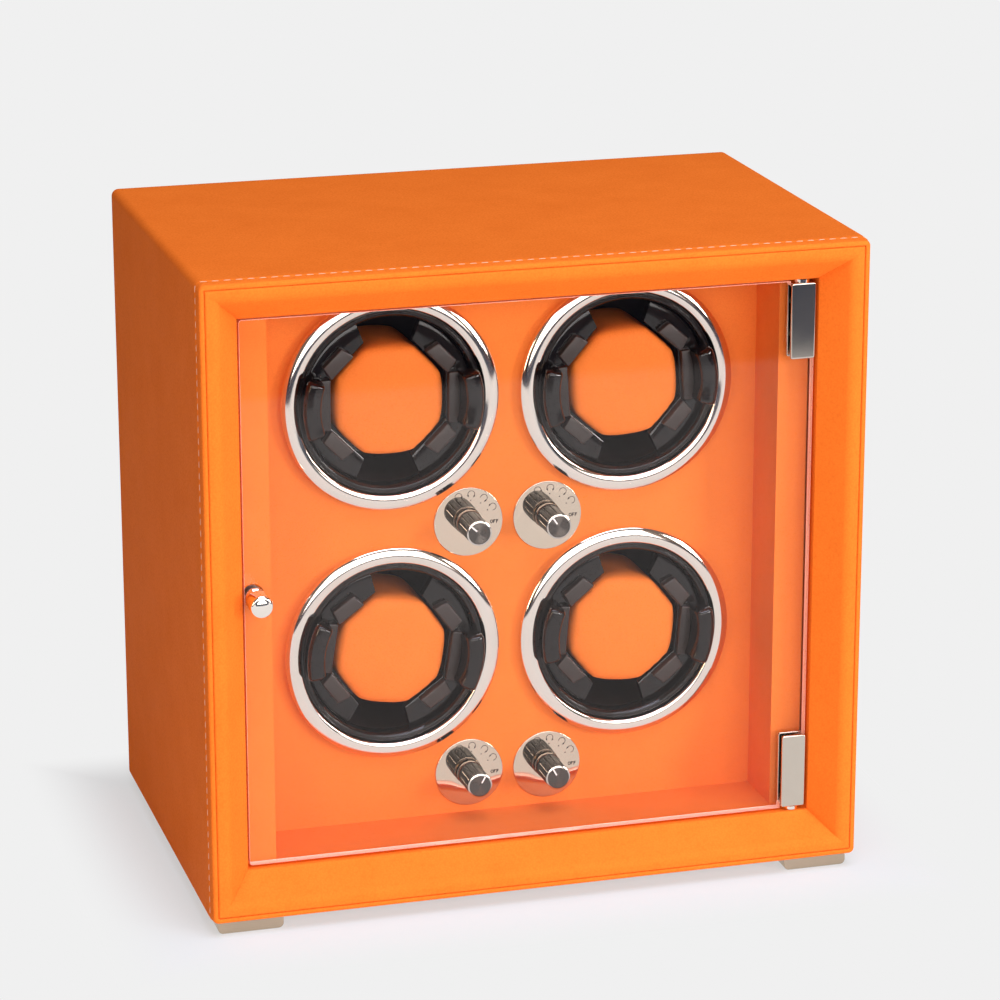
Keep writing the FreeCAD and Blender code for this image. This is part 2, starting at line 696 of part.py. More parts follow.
def make_watch_holder(number, centre, turn):
    """An open carrier: a bridge, two hollow cheeks, window plates, corner lugs and finger grips."""
    body = new_body(f"watch_holder_{number}")
    bridge_front = -s.drum_floor + s.bridge_thick
    plate_back = -s.holder_plate_back
    plate_front = -s.holder_plate_front
    bridge_end = s.window_half + s.bridge_lap
    bridge = new_sketch(body, "XZ_Plane", -s.drum_floor)
    box_outline(bridge, -bridge_end, bridge_end, -s.bridge_half, s.bridge_half)
    pad(body, bridge, s.bridge_thick)
    cheeks = new_sketch(body, "XZ_Plane", bridge_front)
    hollows = new_sketch(body, "XZ_Plane", plate_back)
    plates = new_sketch(body, "XZ_Plane", plate_back)
    chord = s.window_half + s.lug_inset
    cheek_rise = root(s.holder_radius * s.holder_radius - chord * chord)
    hollow_chord = chord + s.holder_wall
    hollow_radius = s.holder_radius - s.holder_wall
    hollow_rise = root(hollow_radius * hollow_radius - hollow_chord * hollow_chord)
    corner = s.window_half * EIGHTH
    end_x = s.holder_radius * ratio("cos", s.holder_span)
    end_z = s.holder_radius * ratio("sin", s.holder_span)
    for side in (-1, 1):
        outline(cheeks, [
            (side * chord, cheek_rise),
            (side * chord, -cheek_rise, side * -s.holder_radius),
        ])
        outline(hollows, [
            (side * hollow_chord, hollow_rise),
            (side * hollow_chord, -hollow_rise, side * -hollow_radius),
        ])
        outline(plates, [
            (side * s.window_half, -corner),
            (side * s.window_half, corner),
            (side * corner, s.window_half),
            (side * end_x, end_z),
            (side * end_x, -end_z, side * -s.holder_radius),
            (side * corner, -s.window_half),
        ])
    pad(body, cheeks, plate_back - bridge_front)
    pocket(body, hollows)
    pad(body, plates, plate_front - plate_back)
    make_holder_lugs(body, plate_front - s.holder_plate_front)
    make_holder_grips(body, plate_back + s.holder_plate_front, plate_front)
    place(body, centre[0], panel_face, centre[1], turn)


def make_holder_lugs(body, seat):
    """Four tapered bars along the slanted sides of the window."""
    lugs = new_sketch(body, "XZ_Plane", seat)
    diagonal = math.sqrt(0.5)
    near_edge = s.window_half + s.lug_inset
    far_edge = near_edge + s.lug_width
    ends = [
        (near_edge, s.lug_shift - s.lug_half_long), (near_edge, s.lug_shift + s.lug_half_long),
        (far_edge, s.lug_shift + s.lug_half_short), (far_edge, s.lug_shift - s.lug_half_short),
    ]
    for across in (-1, 1):
        for up in (-1, 1):
            outline(lugs, [
                (across * diagonal * (reach + along), up * diagonal * (reach - along))
                for reach, along in ends
            ])
    pad(body, lugs, s.lug_height)


def make_holder_grips(body, seat, plate_front):
    """Two finger grips that flare outwards over the rim, swept round the drum's axis."""
    root_inner = s.window_half + s.grip_root
    root_outer = root_inner + s.grip_thick
    inner_tip = root_inner + s.grip_lean
    round_off = s.grip_tip_round
    turned(body, [[
        (side * root_inner, seat),
        (side * root_inner, plate_front),
        (side * inner_tip, s.grip_front - round_off),
        (side * (inner_tip + round_off), s.grip_front, side * -round_off),
        (side * (s.grip_reach - round_off), s.grip_front),
        (side * s.grip_reach, s.grip_front - round_off, side * -round_off),
        (side * (s.grip_reach - s.drum_step), s.grip_front - 2 * round_off),
        (side * root_outer, plate_front + 2 * s.holder_plate_front),
        (side * root_outer, seat),
    ] for side in (-1, 1)], s.grip_span)


def make_cushion(number, centre, turn):
    """An eight-sided pad: full in the middle, drawn in at both ends, with a crowned front."""
    body = new_body(f"cushion_{number}")
    sections = []
    for step in range(CUSHION_STEPS + 1):
        along = -math.cos(math.pi * step / CUSHION_STEPS)
        swell = (1 - abs(along) ** 8) ** (1 / 3)
        lift = (s.cushion_front + s.cushion_back) * ((along + 1) / 2) - s.cushion_back
        half = s.cushion_half * (s.cushion_end + (1 - s.cushion_end) * swell)
        corner = half * EIGHTH
        section = new_sketch(body, "XZ_Plane", lift)
        outline(section, [
            (half, -corner), (half, corner), (corner, half), (-corner, half),
            (-half, corner), (-half, -corner), (-corner, -half), (corner, -half),
        ])
        sections.append(section)
    loft = body.newObject("PartDesign::AdditiveLoft", body.Label + "_loft")
    loft.Profile = sections[0]
    loft.Sections = sections[1:]
    loft.Ruled = True
    place(body, centre[0], panel_face, centre[1], turn)


def make_dial_plate(number, centre):
    body = new_body(f"dial_plate_{number}")
    turned(body, [[
        (s.plate_bore, 0),
        (s.plate_radius, 0),
        (s.plate_radius, s.plate_thick - s.plate_chamfer),
        (s.plate_radius - s.plate_chamfer, s.plate_thick),
        (s.plate_bore, s.plate_thick),
    ]])
    place(body, centre[0], panel_face, centre[1])


def make_selector_knob(number, centre, turn):
    """A fluted knob with a plain skirt, a chamfered face, a pointer slot and a stem."""
    body = new_body(f"selector_knob_{number}")
    skirt_back = s.plate_thick + s.knob_lift
    skirt_front = skirt_back + s.knob_skirt_tall
    face_radius = s.knob_radius - s.knob_chamfer
    turned(body, [[
        (0, -s.panel_thick),
        (s.stem_radius, -s.panel_thick),
        (s.stem_radius, skirt_back),
        (s.knob_skirt, skirt_back),
        (s.knob_skirt, skirt_front),
        (s.knob_radius, skirt_front + s.knob_skirt - s.knob_radius),
        (s.knob_radius, s.knob_front - s.knob_chamfer),
        (face_radius, s.knob_front),
        (0, s.knob_front),
    ]])
    flute_front = s.knob_front - s.flute_stop
    flute = new_sketch(body, "XZ_Plane", flute_front)
    circles(flute, [(0, s.knob_radius + s.flute_offset)], s.flute_radius)
    groove = pocket(body, flute, flute_front - skirt_front - s.knob_skirt_tall / 2)
    pattern = body.newObject("PartDesign::PolarPattern", body.Label + "_flutes")
    pattern.Originals = [groove]
    pattern.Axis = (flute, ["N_Axis"])
    pattern.Angle = 360
    bind(pattern, "Occurrences", s.knob_flutes)
    body.Tip = pattern
    pointer = new_sketch(body, "XZ_Plane", s.knob_front)
    box_outline(pointer, -s.pointer_half, s.pointer_half, s.pointer_start, face_radius)
    pocket(body, pointer, s.pointer_depth)
    place(body, centre[0], panel_face, centre[1], turn)


def make_selector_switches():
    """Four rotary switch cans behind the panel, each with a bush through it."""
    body = new_body("selector_switches")
    back = s.panel_setback + s.panel_thick
    bush = back - s.panel_setback + s.knob_lift
    slab(body, back, s.switch_length, lambda sketch: circles(
        sketch, PLATE_CENTRES, s.switch_radius))
    slab(body, s.panel_setback, bush, lambda sketch: circles(
        sketch, PLATE_CENTRES, s.plate_bore))
    cut(body, s.panel_setback, bush, lambda sketch: circles(
        sketch, PLATE_CENTRES, s.stem_radius + s.stem_play))


def make_switch_nuts():
    body = new_body("switch_nuts")
    corner = s.switch_nut_half / math.cos(math.pi / 6)
    sketch = front_sketch(body, s.panel_setback + s.nut_setback)
    for x, z in PLATE_CENTRES:
        outline(sketch, [
            (x + corner * math.cos(step * math.pi / 3), z + corner * math.sin(step * math.pi / 3))
            for step in range(6)
        ])
    circles(sketch, PLATE_CENTRES, s.plate_bore)
    pad(body, sketch, s.nut_thick, backwards=True)


def make_drive():
    """The board behind the drums, the standoffs that carry it and a gearmotor for each drum."""
    board = new_body("motor_board")
    board_half = s.compartment_half + s.motor_board_lap
    slab(board, s.motor_board_setback, s.motor_board_thick, lambda sketch: box_outline(
        sketch, -board_half, board_half, floor_level, ceiling_level))
    cut(board, s.motor_board_setback, None, lambda sketch: circles(
        sketch, DRUM_CENTRES, s.motor_board_hole))
    panel_back = s.panel_setback + s.panel_thick
    standoffs = new_body("motor_board_standoffs")
    slab(standoffs, panel_back, s.motor_board_setback - panel_back, lambda sketch: circles(
        sketch, standoff_centres(), s.standoff_radius))
    motors = new_body("gearmotors")
    gearbox = s.motor_board_setback + s.motor_board_thick
    slab(motors, gearbox, s.gearbox_length, lambda sketch: circles(
        sketch, DRUM_CENTRES, s.gearbox_radius))
    slab(motors, gearbox + s.gearbox_length, s.motor_length, lambda sketch: circles(
        sketch, DRUM_CENTRES, s.motor_radius))
    cut(motors, gearbox, s.shaft_seat + 1, lambda sketch: circles(
        sketch, DRUM_CENTRES, s.shaft_radius + s.shaft_play))


def make_control_board():
    """A circuit board on four spacers behind the motor board, with its tall components."""
    body = new_body("control_board")
    mount = s.motor_board_setback + s.motor_board_thick
    height = base + (s.ring_row_low + s.ring_row_high) / 2
    low = height - s.board_half_tall
    high = height + s.board_half_tall
    spacer_inset = s.board_spacer_radius + 1
    corners = [
        (across * (s.board_half_long - spacer_inset), height + up * (s.board_half_tall - spacer_inset))
        for across in (-1, 1) for up in (-1, 1)
    ]
    slab(body, mount, s.board_spacer, lambda sketch: circles(
        sketch, corners, s.board_spacer_radius))
    slab(body, mount + s.board_spacer, s.board_thick, lambda sketch: box_outline(
        sketch, -s.board_half_long, s.board_half_long, low, high))
    parts_back = mount + s.board_spacer + s.board_thick
    row = high - s.socket_tall / 2
    for place_along in (-1.5, -0.5, 0.5, 1.5):
        column = place_along * s.socket_pitch
        slab(body, parts_back, s.socket_deep, lambda sketch: box_outline(
            sketch, column - s.socket_half, column + s.socket_half, row - s.socket_tall, row))
    lower_row = height - s.board_half_tall / 2
    slab(body, parts_back, s.capacitor_long, lambda sketch: circles(
        sketch, [(-3 * s.chip_half, lower_row), (-1.5 * s.chip_half, lower_row)],
        s.capacitor_radius))
    slab(body, parts_back, s.chip_thick, lambda sketch: box_outline(
        sketch, s.chip_half, 3 * s.chip_half, lower_row - s.chip_half, lower_row + s.chip_half))


def make_back():
    panel = new_body("back_panel")
    setback = s.case_depth - s.back_thick
    edge = s.lip + s.back_fit
    slab(panel, setback, s.back_thick, lambda sketch: box_outline(
        sketch, -half_width + edge, half_width - edge, base + edge, top - edge))
    cut(panel, setback, None, lambda sketch: circles(
        sketch, back_screw_centres(), s.screw_radius))
    head = s.case_depth - s.screw_head_thick
    cut(panel, head, None, lambda sketch: circles(sketch, back_screw_centres(), s.screw_head))
    jack = [(s.jack_column, base + s.jack_row)]
    cut(panel, setback, None, lambda sketch: circles(sketch, jack, s.jack_barrel))
    cut(panel, s.case_depth - s.jack_flange_thick, None, lambda sketch: circles(
        sketch, jack, s.jack_flange))
    screws = new_body("back_panel_screws")
    slab(screws, head, s.screw_head_thick, lambda sketch: circles(
        sketch, back_screw_centres(), s.screw_head))
    slab(screws, s.case_depth - s.screw_length, s.screw_length, lambda sketch: circles(
        sketch, back_screw_centres(), s.screw_radius))
    socket = new_body("power_jack")
    slab(socket, s.case_depth - s.jack_flange_thick, s.jack_flange_thick, lambda sketch: circles(
        sketch, jack, s.jack_flange))
    slab(socket, s.case_depth - s.jack_length, s.jack_length, lambda sketch: circles(
        sketch, jack, s.jack_barrel))
    ring = front_sketch(socket, s.case_depth - s.jack_depth)
    circles(ring, jack, s.jack_socket)
    circles(ring, jack, s.jack_pin)
    pocket(socket, ring)


def make_feet():
    for rank, y_near in (("front", front + s.foot_inset),
                         ("back", -front - s.foot_inset - s.foot_depth)):
        for side, x_near in (("left", -half_width + s.foot_side),
                             ("right", half_width - s.foot_side - s.foot_width)):
            body = new_body(f"foot_{rank}_{side}")
            sketch = new_sketch(body, "XZ_Plane", -y_near)
            far = x_near + s.foot_width
            outline(sketch, [
                (far - s.foot_round, 0),
                (far, s.foot_round, s.foot_round),
                (far, base),
                (x_near, base),
                (x_near, s.foot_round),
                (x_near + s.foot_round, 0, s.foot_round),
            ])
            pad(body, sketch, s.foot_depth, backwards=True)


def make_door_pane():
    body = new_body("door_pane")
    notch = s.hinge_column - s.clamp_width / 2 - s.notch_clear
    notch_low = clamp_low + s.clamp_plate
    notch_high = clamp_high - s.clamp_plate
    slab(body, s.pane_setback, s.pane_thick, lambda sketch: outline(sketch, [
        (notch, pane_low),
        (notch, notch_low),
        (pane_half, notch_low),
        (pane_half, notch_high),
        (notch, notch_high),
        (notch, pane_high),
        (-pane_half + s.pane_corner, pane_high),
        (-pane_half, pane_high - s.pane_corner, s.pane_corner),
        (-pane_half, pane_low + s.pane_corner),
        (-pane_half + s.pane_corner, pane_low, s.pane_corner),
    ]))
    cut(body, s.pane_setback, None, lambda sketch: circles(
        sketch, [(pull_column, middle)], s.pull_screw_radius))


def make_hinge_clamp(label, low, high, web_low):
    """A channel folded round the pane: its web carries the pivot, its back plate two screws."""
    body = new_body(label)
    outer_front = pane_front - s.clamp_plate
    outer_back = pane_back + s.clamp_plate
    left = s.hinge_column - s.clamp_width / 2
    sketch = new_sketch(body, "YZ_Plane", left)
    if web_low:
        open_end, closed_end, web = high, low, low + s.clamp_plate
    else:
        open_end, closed_end, web = low, high, high - s.clamp_plate
    outline(sketch, [
        (outer_front, open_end), (outer_front, closed_end),
        (outer_back, closed_end), (outer_back, open_end),
        (pane_back, open_end), (pane_back, web),
        (pane_front, web), (pane_front, open_end),
    ])
    solid = pad(body, sketch, s.clamp_width)
    upright = (outer_front, outer_back)
    round_edges(body, solid, s.clamp_round, lambda p: any(near(p.y, y) for y in upright))
    seat = new_sketch(body, "XY_Plane", web if web_low else closed_end)
    circles(seat, [(s.hinge_column, front + pivot_depth)], s.pivot_radius)
    pocket(body, seat, s.clamp_plate)
    cut(body, s.pane_setback + s.pane_thick, s.clamp_plate, lambda sketch: circles(
        sketch, set_screw_centres(low, high), s.set_screw_radius))


def set_screw_centres(low, high):
    """Two set screws, one above the other, clear of the pivot."""
    column = s.hinge_column - s.set_screw_shift
    return [(column, low + s.set_screw_inset), (column, high - s.set_screw_inset)]


def make_hinges():
    low_end = (clamp_low, clamp_low + s.clamp_height)
    high_end = (clamp_high - s.clamp_height, clamp_high)
    make_hinge_clamp("hinge_clamp_bottom", *low_end, True)
    make_hinge_clamp("hinge_clamp_top", *high_end, False)
    pivot = [(s.hinge_column, front + pivot_depth)]
    pins = new_body("hinge_pins")
    bushes = new_body("hinge_bushes")
    stem = s.clamp_plate + s.clamp_gap + s.pivot_reach
    ends = [
        (clamp_low - s.shoulder_thick, floor_level - s.pivot_reach, floor_level - s.bush_length),
        (clamp_high, clamp_high - s.clamp_plate, ceiling_level),
    ]
    for shoulder, stem_start, bush_start in ends:
        rise = new_sketch(pins, "XY_Plane", stem_start)
        circles(rise, pivot, s.pivot_radius)
        pad(pins, rise, stem)
        flange = new_sketch(pins, "XY_Plane", shoulder)
        circles(flange, pivot, s.shoulder_radius)
        pad(pins, flange, s.shoulder_thick)
        sleeve = new_sketch(bushes, "XY_Plane", bush_start)
        circles(sleeve, pivot, s.bush_radius)
        circles(sleeve, pivot, s.pivot_radius + s.pivot_play)
        pad(bushes, sleeve, s.bush_length)
    screws = new_body("clamp_set_screws")
    slab(screws, s.pane_setback + s.pane_thick, s.clamp_plate + s.set_screw_proud,
         lambda sketch: circles(
             sketch, set_screw_centres(*low_end) + set_screw_centres(*high_end),
             s.set_screw_radius))


def make_door_knob():
    """A turned pull with a base ring, a neck and a low domed end, and the screw that holds it."""
    body = new_body("door_knob")
    base_radius = s.pull_radius - s.pull_base_inset
    neck_radius = s.pull_radius - s.pull_neck
    neck_back = s.pull_base + base_radius - neck_radius
    neck_front = 2 * neck_back - s.pull_base
    edge_radius = s.pull_radius - s.pull_chamfer
    edge_front = s.pull_length - s.pull_dome
    turned(body, [[
        (s.pull_screw_radius, 0),
        (base_radius, 0),
        (base_radius, s.pull_base),
        (neck_radius, neck_back),
        (neck_radius, neck_front),
        (s.pull_radius, neck_front + s.pull_neck),
        (s.pull_radius, edge_front - s.pull_chamfer),
        (edge_radius, edge_front),
        (0, s.pull_length),
        (0, s.pull_bore),
        (s.pull_screw_radius, s.pull_bore),
    ]])
    place(body, pull_column, pane_front, middle)
    screw = new_body("door_knob_screw")
    head_back = -s.pane_thick - s.pull_screw_thick
    tip = s.pull_bore - 1
    turned(screw, [[
        (0, head_back),
        (s.pull_screw_head - s.pull_screw_edge, head_back),
        (s.pull_screw_head, head_back + s.pull_screw_edge),
        (s.pull_screw_head, -s.pane_thick),
        (s.pull_screw_radius, -s.pane_thick),
        (s.pull_screw_radius, tip),
        (0, tip),
    ]])
    place(screw, pull_column, pane_front, middle)


def make_winders():
    for index in range(4):
        number = index + 1
        centre = DRUM_CENTRES[index]
        turn = DRUM_TURNS[index]
        make_bezel_ring(number, centre)
        make_drum(number, centre, turn)
        make_drum_shaft(number, centre, turn)
        make_watch_holder(number, centre, turn)
        make_cushion(number, centre, turn)
        make_dial_plate(number, PLATE_CENTRES[index])
        make_selector_knob(number, PLATE_CENTRES[index], KNOB_TURNS[index])


def export():
    """Check every object, then write one file per sub-part."""
    DOC.recompute()
    failed = [item.Label for item in DOC.Objects if {"Invalid", "Error"} & set(item.State)]
    unsound = [
        body.Label for body in SUBPARTS if body.Shape.isNull() or not body.Shape.isValid()
    ]
    if failed or unsound:
        raise RuntimeError(f"failed: {failed}, unsound: {unsound}")
    os.makedirs("parts", exist_ok=True)
    for body in SUBPARTS:
        body.Shape.exportStep(f"parts/{body.Label}.step")


make_case_shell()
make_front_frame()
make_display_space()
make_winder_panel()
make_winders()
make_selector_switches()
make_switch_nuts()
make_drive()
make_control_board()
make_back()
make_feet()
make_door_pane()
make_hinges()
make_door_knob()
export()
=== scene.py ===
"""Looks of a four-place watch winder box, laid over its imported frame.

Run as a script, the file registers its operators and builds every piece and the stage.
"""

import json
import math
from types import SimpleNamespace

import bmesh
import bpy
import numpy as np
from bpy.props import FloatProperty, FloatVectorProperty, IntProperty, PointerProperty
from mathutils import Matrix, Vector

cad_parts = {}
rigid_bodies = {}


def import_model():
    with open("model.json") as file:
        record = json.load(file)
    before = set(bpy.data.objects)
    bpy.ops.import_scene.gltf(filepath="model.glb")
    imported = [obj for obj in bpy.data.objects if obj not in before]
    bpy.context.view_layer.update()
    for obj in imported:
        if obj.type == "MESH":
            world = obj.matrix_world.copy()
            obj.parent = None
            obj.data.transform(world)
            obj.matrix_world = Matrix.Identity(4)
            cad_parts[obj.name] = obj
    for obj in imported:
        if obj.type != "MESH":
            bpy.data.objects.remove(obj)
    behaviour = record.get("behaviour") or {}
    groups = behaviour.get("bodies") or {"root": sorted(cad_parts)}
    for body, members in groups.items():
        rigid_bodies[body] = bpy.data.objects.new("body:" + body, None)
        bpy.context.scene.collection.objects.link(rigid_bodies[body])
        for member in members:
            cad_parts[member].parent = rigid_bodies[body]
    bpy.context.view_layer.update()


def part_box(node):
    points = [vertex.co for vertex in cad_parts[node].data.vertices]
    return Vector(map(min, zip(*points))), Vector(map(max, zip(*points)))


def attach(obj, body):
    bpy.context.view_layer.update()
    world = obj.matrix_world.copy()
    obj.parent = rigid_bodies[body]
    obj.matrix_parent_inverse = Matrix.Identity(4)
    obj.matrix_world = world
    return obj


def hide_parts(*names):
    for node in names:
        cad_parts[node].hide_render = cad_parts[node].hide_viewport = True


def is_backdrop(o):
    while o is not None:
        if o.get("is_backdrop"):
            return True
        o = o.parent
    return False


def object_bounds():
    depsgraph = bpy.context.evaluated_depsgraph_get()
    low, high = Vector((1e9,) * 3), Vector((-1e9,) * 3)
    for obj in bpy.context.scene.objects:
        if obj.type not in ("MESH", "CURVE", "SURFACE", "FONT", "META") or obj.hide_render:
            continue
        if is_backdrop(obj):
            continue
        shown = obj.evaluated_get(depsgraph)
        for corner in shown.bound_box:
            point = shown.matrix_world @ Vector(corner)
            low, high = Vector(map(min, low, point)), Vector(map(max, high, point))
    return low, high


bl_info = {
    "name": "Watch winder box",
    "version": (1, 0, 0),
    "blender": (4, 5, 0),
    "location": "View3D > Sidebar > Winder box",
    "description": "Builds the pieces of a watch winder box over its packed frame",
    "category": "Object",
}

for spare in list(bpy.data.objects):
    bpy.data.objects.remove(spare)
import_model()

MM = 0.001
QUARTER = math.pi / 2
NUMBERS = (1, 2, 3, 4)

# Finishes that are made already, by their function and its details
MADE = {}


def length(name, description, millimetres):
    """A length setting, given in millimetres."""
    return FloatProperty(
        name=name, description=description, default=millimetres * MM, unit="LENGTH", precision=4
    )


def quantity(name, description, default, unit="NONE", subtype="NONE"):
    """A number setting, in a unit or as a kind of number."""
    return FloatProperty(
        name=name, description=description, default=default, unit=unit, subtype=subtype
    )


def angle(name, description, degrees):
    """An angle setting, given in degrees."""
    return FloatProperty(
        name=name, description=description, default=math.radians(degrees), subtype="ANGLE"
    )


def paint(name, description, red, green, blue):
    """A colour setting, given as screen values from 0 to 255."""
    return FloatVectorProperty(
        name=name, description=description, default=linear(red, green, blue)[:3],
        subtype="COLOR", min=0.0, max=1.0,
    )


def linear(red, green, blue):
    """Screen values from 0 to 255 as a linear colour with full alpha."""
    share = np.array((red, green, blue)) / 255.0
    scene = np.where(share <= 0.04045, share / 12.92, ((share + 0.055) / 1.055) ** 2.4)
    return (*(float(part) for part in scene), 1.0)


class CaseSettings(bpy.types.PropertyGroup):
    """Sizes and colours of the wrapped case and its front frame."""

    wall: length("Wall", "Thickness of the case wall", 12)
    rail_depth: length("Rail depth", "Front to back depth of the frame rails", 24)
    corner: length("Corner", "Round of the long corners", 3.4)
    rim: length("Rim", "Round of the front rim", 1.1)
    back_rim: length("Back rim", "Round of the back rim", 1.8)
    back_thick: length("Back panel", "Thickness of the back panel", 5)
    draw: length("Drawn in", "How far the hem draws the wrap in at the front", 1.0)
    roll: length("Roll", "Depth over which the wrap rolls over to the hem", 10)
    stitch_back: length("Stitch line", "Stitches behind the front rim", 5.6)
    stitch_pitch: length("Stitch pitch", "Spacing of the stitches", 5.25)
    stitch_long: length("Stitch length", "Length of a stitch", 3.3)
    stitch_wide: length("Stitch width", "Width of a stitch", 0.72)
    groove: length("Stitch groove", "Depth of the groove under the stitches", 0.3)
    rail_flat: length("Rail flat", "Flat beside the seam, up to the bend's corner", 5.4)
    rail_bend: length("Rail bend", "Bend between the flat and the bevel", 6)
    rail_edge: length("Rail edge", "Round of the rails at the seam", 0.9)
    bevel: angle("Bevel", "Slope of the rails against the front", 50)
    mitre: length("Mitre crease", "Depth of the crease where two rails meet", 0.55)
    leather: paint("Leatherette", "Colour of the wrap", 243, 122, 41)
    shade: paint("Leatherette grain", "Colour in the hollows of the grain", 210, 90, 24)
    lining: paint("Lining", "Colour of the display space", 236, 127, 51)
    lining_shade: paint("Lining grain", "Colour in the hollows of the lining", 216, 104, 37)
    thread: paint("Thread", "Colour of the hem stitches", 242, 184, 148)


class WinderSettings(bpy.types.PropertyGroup):
    """Sizes of the rings, drums, holders and cushions, in front of the panel's face."""

    crest: length("Bezel crest", "Radius of the ring's crest", 46.8)
    bezel_inner: length("Bezel inner edge", "Inner radius of the ring", 44)
    bezel_front: length("Bezel front", "Height of the ring's crest", 5.2)
    bezel_bow: length("Bezel bow", "Radius of the bow across the ring's face", 7.7)
    spigot: length("Bezel spigot", "Outer radius of the tube in the panel", 47.3)
    bore: length("Drum bore", "Inner radius of the drum", 40)
    shell: length("Drum shell", "Outer radius of the drum's cup", 42.2)
    floor: length("Drum floor", "Floor of the drum behind the panel", 48)
    window: length("Window", "Half across the holder's octagonal window", 27.3)
    holder: length("Holder", "Outer radius of the holder's plates", 39.4)
    plate_span: angle("Plate span", "Reach of the holder's plates above and below the middle", 66)
    lug_round: length("Lug round", "Round of the holder's corner lugs", 0.9)
    lug_shift: length("Lug shift", "Middle of a lug along the window, towards its grip", 3.6)
    grip_span: angle("Grip span", "Half sweep of the finger grips", 21.8)
    cushion: length("Cushion", "Half across the cushion before it is filled", 26.25)
    cushion_proud: length("Cushion proud", "Cover's front before the packed one", 1.0)
    cushion_swell: length("Cushion swell", "Most that the filling moves the cover", 0.9)
    cushion_cell: length("Cushion cell", "Cell of the simulated cover", 4)
    turn_1: angle("Turn 1", "Upper left drum, clockwise", 0.5)
    turn_2: angle("Turn 2", "Upper right drum, clockwise", -3.6)
    turn_3: angle("Turn 3", "Lower left drum, clockwise", 9)
    turn_4: angle("Turn 4", "Lower right drum, clockwise", 5.3)


class DialSettings(bpy.types.PropertyGroup):
    """Sizes of the dial plates and selector knobs."""

    bore: length("Plate bore", "Hole in the plate", 3.6)
    mark_ring: length("Mark ring", "Radius of the direction marks", 13.3)
    mark_arc: length("Mark arc", "Radius of one direction mark", 1.65)
    stroke: length("Stroke", "Width of the printed lines", 0.26)
    dot_ring: length("Dot ring", "Radius of the dots", 10.4)
    word_ring: length("Word ring", "Radius of the printed word", 12.7)
    letter: length("Letter", "Height of the printed letters", 1.75)
    knob: length("Knob", "Radius of the knob's side", 5.9)
    flutes: IntProperty(name="Flutes", description="Flutes round the knob", default=12)
    flute_deep: length("Flute depth", "Depth of a flute", 0.4)
    turn_1: angle("Turn 1", "Upper left knob, clockwise from up", -47)
    turn_2: angle("Turn 2", "Upper right knob, clockwise from up", -34)
    turn_3: angle("Turn 3", "Lower left knob, clockwise from up", 30)
    turn_4: angle("Turn 4", "Lower right knob, clockwise from up", -29)


class DoorSettings(bpy.types.PropertyGroup):
    """Sizes of the pane, its clamps and its knob."""

    bevel: length("Pane bevel", "Polished edge of the pane", 0.18)
    corner: length("Pane corner", "Round of the pane's free corners", 1.5)
    clamp_plate: length("Clamp plate", "Thickness of the clamp's plates", 1.6)
    clamp_edge: length("Clamp edge", "Round of the clamp's edges", 0.45)
    # The pane edge colour is painted light: the pink glow that the clear edge takes from the orange
    # case
    edge: paint("Pane edge", "Colour of the pane's edges", 255, 204, 184)


class StageSettings(bpy.types.PropertyGroup):
    """Camera, lamps and floor."""

    yaw: angle("Yaw", "Camera's turn to the right of straight ahead", 16.06)
    pitch: angle("Pitch", "Camera's tilt downwards", 16.98)
    roll: angle("Roll", "Camera's roll", 0.05)
    distance: length("Distance", "Camera to its target", 1833.05)
    target: FloatVectorProperty(
        name="Target", description="Point the camera looks at", subtype="TRANSLATION",
        unit="LENGTH", default=(0.00859, -0.0015, 0.16501),
    )
    lens: quantity("Lens", "Focal length on a 36 mm sensor", 139.03, "CAMERA")
    backdrop: paint("Backdrop", "Colour of the floor and backdrop", 240, 240, 240)
    glow: quantity("Glow", "Share of the floor that is evenly lit", 0.6, subtype="FACTOR")
    shade_reach: length("Shade reach", "How far the floor shows the box's shade", 50)
    mirror: quantity("Mirrored", "Share that is evenly lit in reflections", 0.8, subtype="FACTOR")
    front_edge: length("Front edge", "End of the pale floor in front of the box", 950)
    key: quantity("Key lamp", "Power of the front lamp", 18.0, "POWER")
    right: quantity("Right lamp", "Power of the right lamp", 16.0, "POWER")
    left: quantity("Left lamp", "Power of the left lamp", 7.0, "POWER")
    over: quantity("Overhead lamp", "Power of the lamp above", 30.0, "POWER")
    fill: quantity("Fill", "Strength of the surrounding light", 0.16)


GROUPS = {
    "winder_case": CaseSettings,
    "winder_drums": WinderSettings,
    "winder_dials": DialSettings,
    "winder_door": DoorSettings,
    "winder_stage": StageSettings,
}


def in_mm(group):
    """A group's settings as plain numbers, with lengths in millimetres."""
    found = {}
    for name in group.__annotations__:
        value = getattr(group, name)
        kind = group.bl_rna.properties[name]
        if kind.type == "FLOAT" and kind.unit == "LENGTH" and not kind.is_array:
            value = value / MM
        found[name] = tuple(value) if getattr(kind, "is_array", False) else value
    return SimpleNamespace(**found)


def span(node):
    """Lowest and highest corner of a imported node, in millimetres."""
    low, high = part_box(node)
    return np.array(low) / MM, np.array(high) / MM


def middle(node):
    """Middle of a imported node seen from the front, with the panel's face as its depth."""
    low, high = span(node)
    return np.array([(low[0] + high[0]) / 2, span("winder_panel")[0][1], (low[2] + high[2]) / 2])


def ease(value):
    """0 below 0, 1 above 1 and a smooth S between them."""
    value = np.clip(value, 0.0, 1.0)
    return value * value * (3.0 - 2.0 * value)


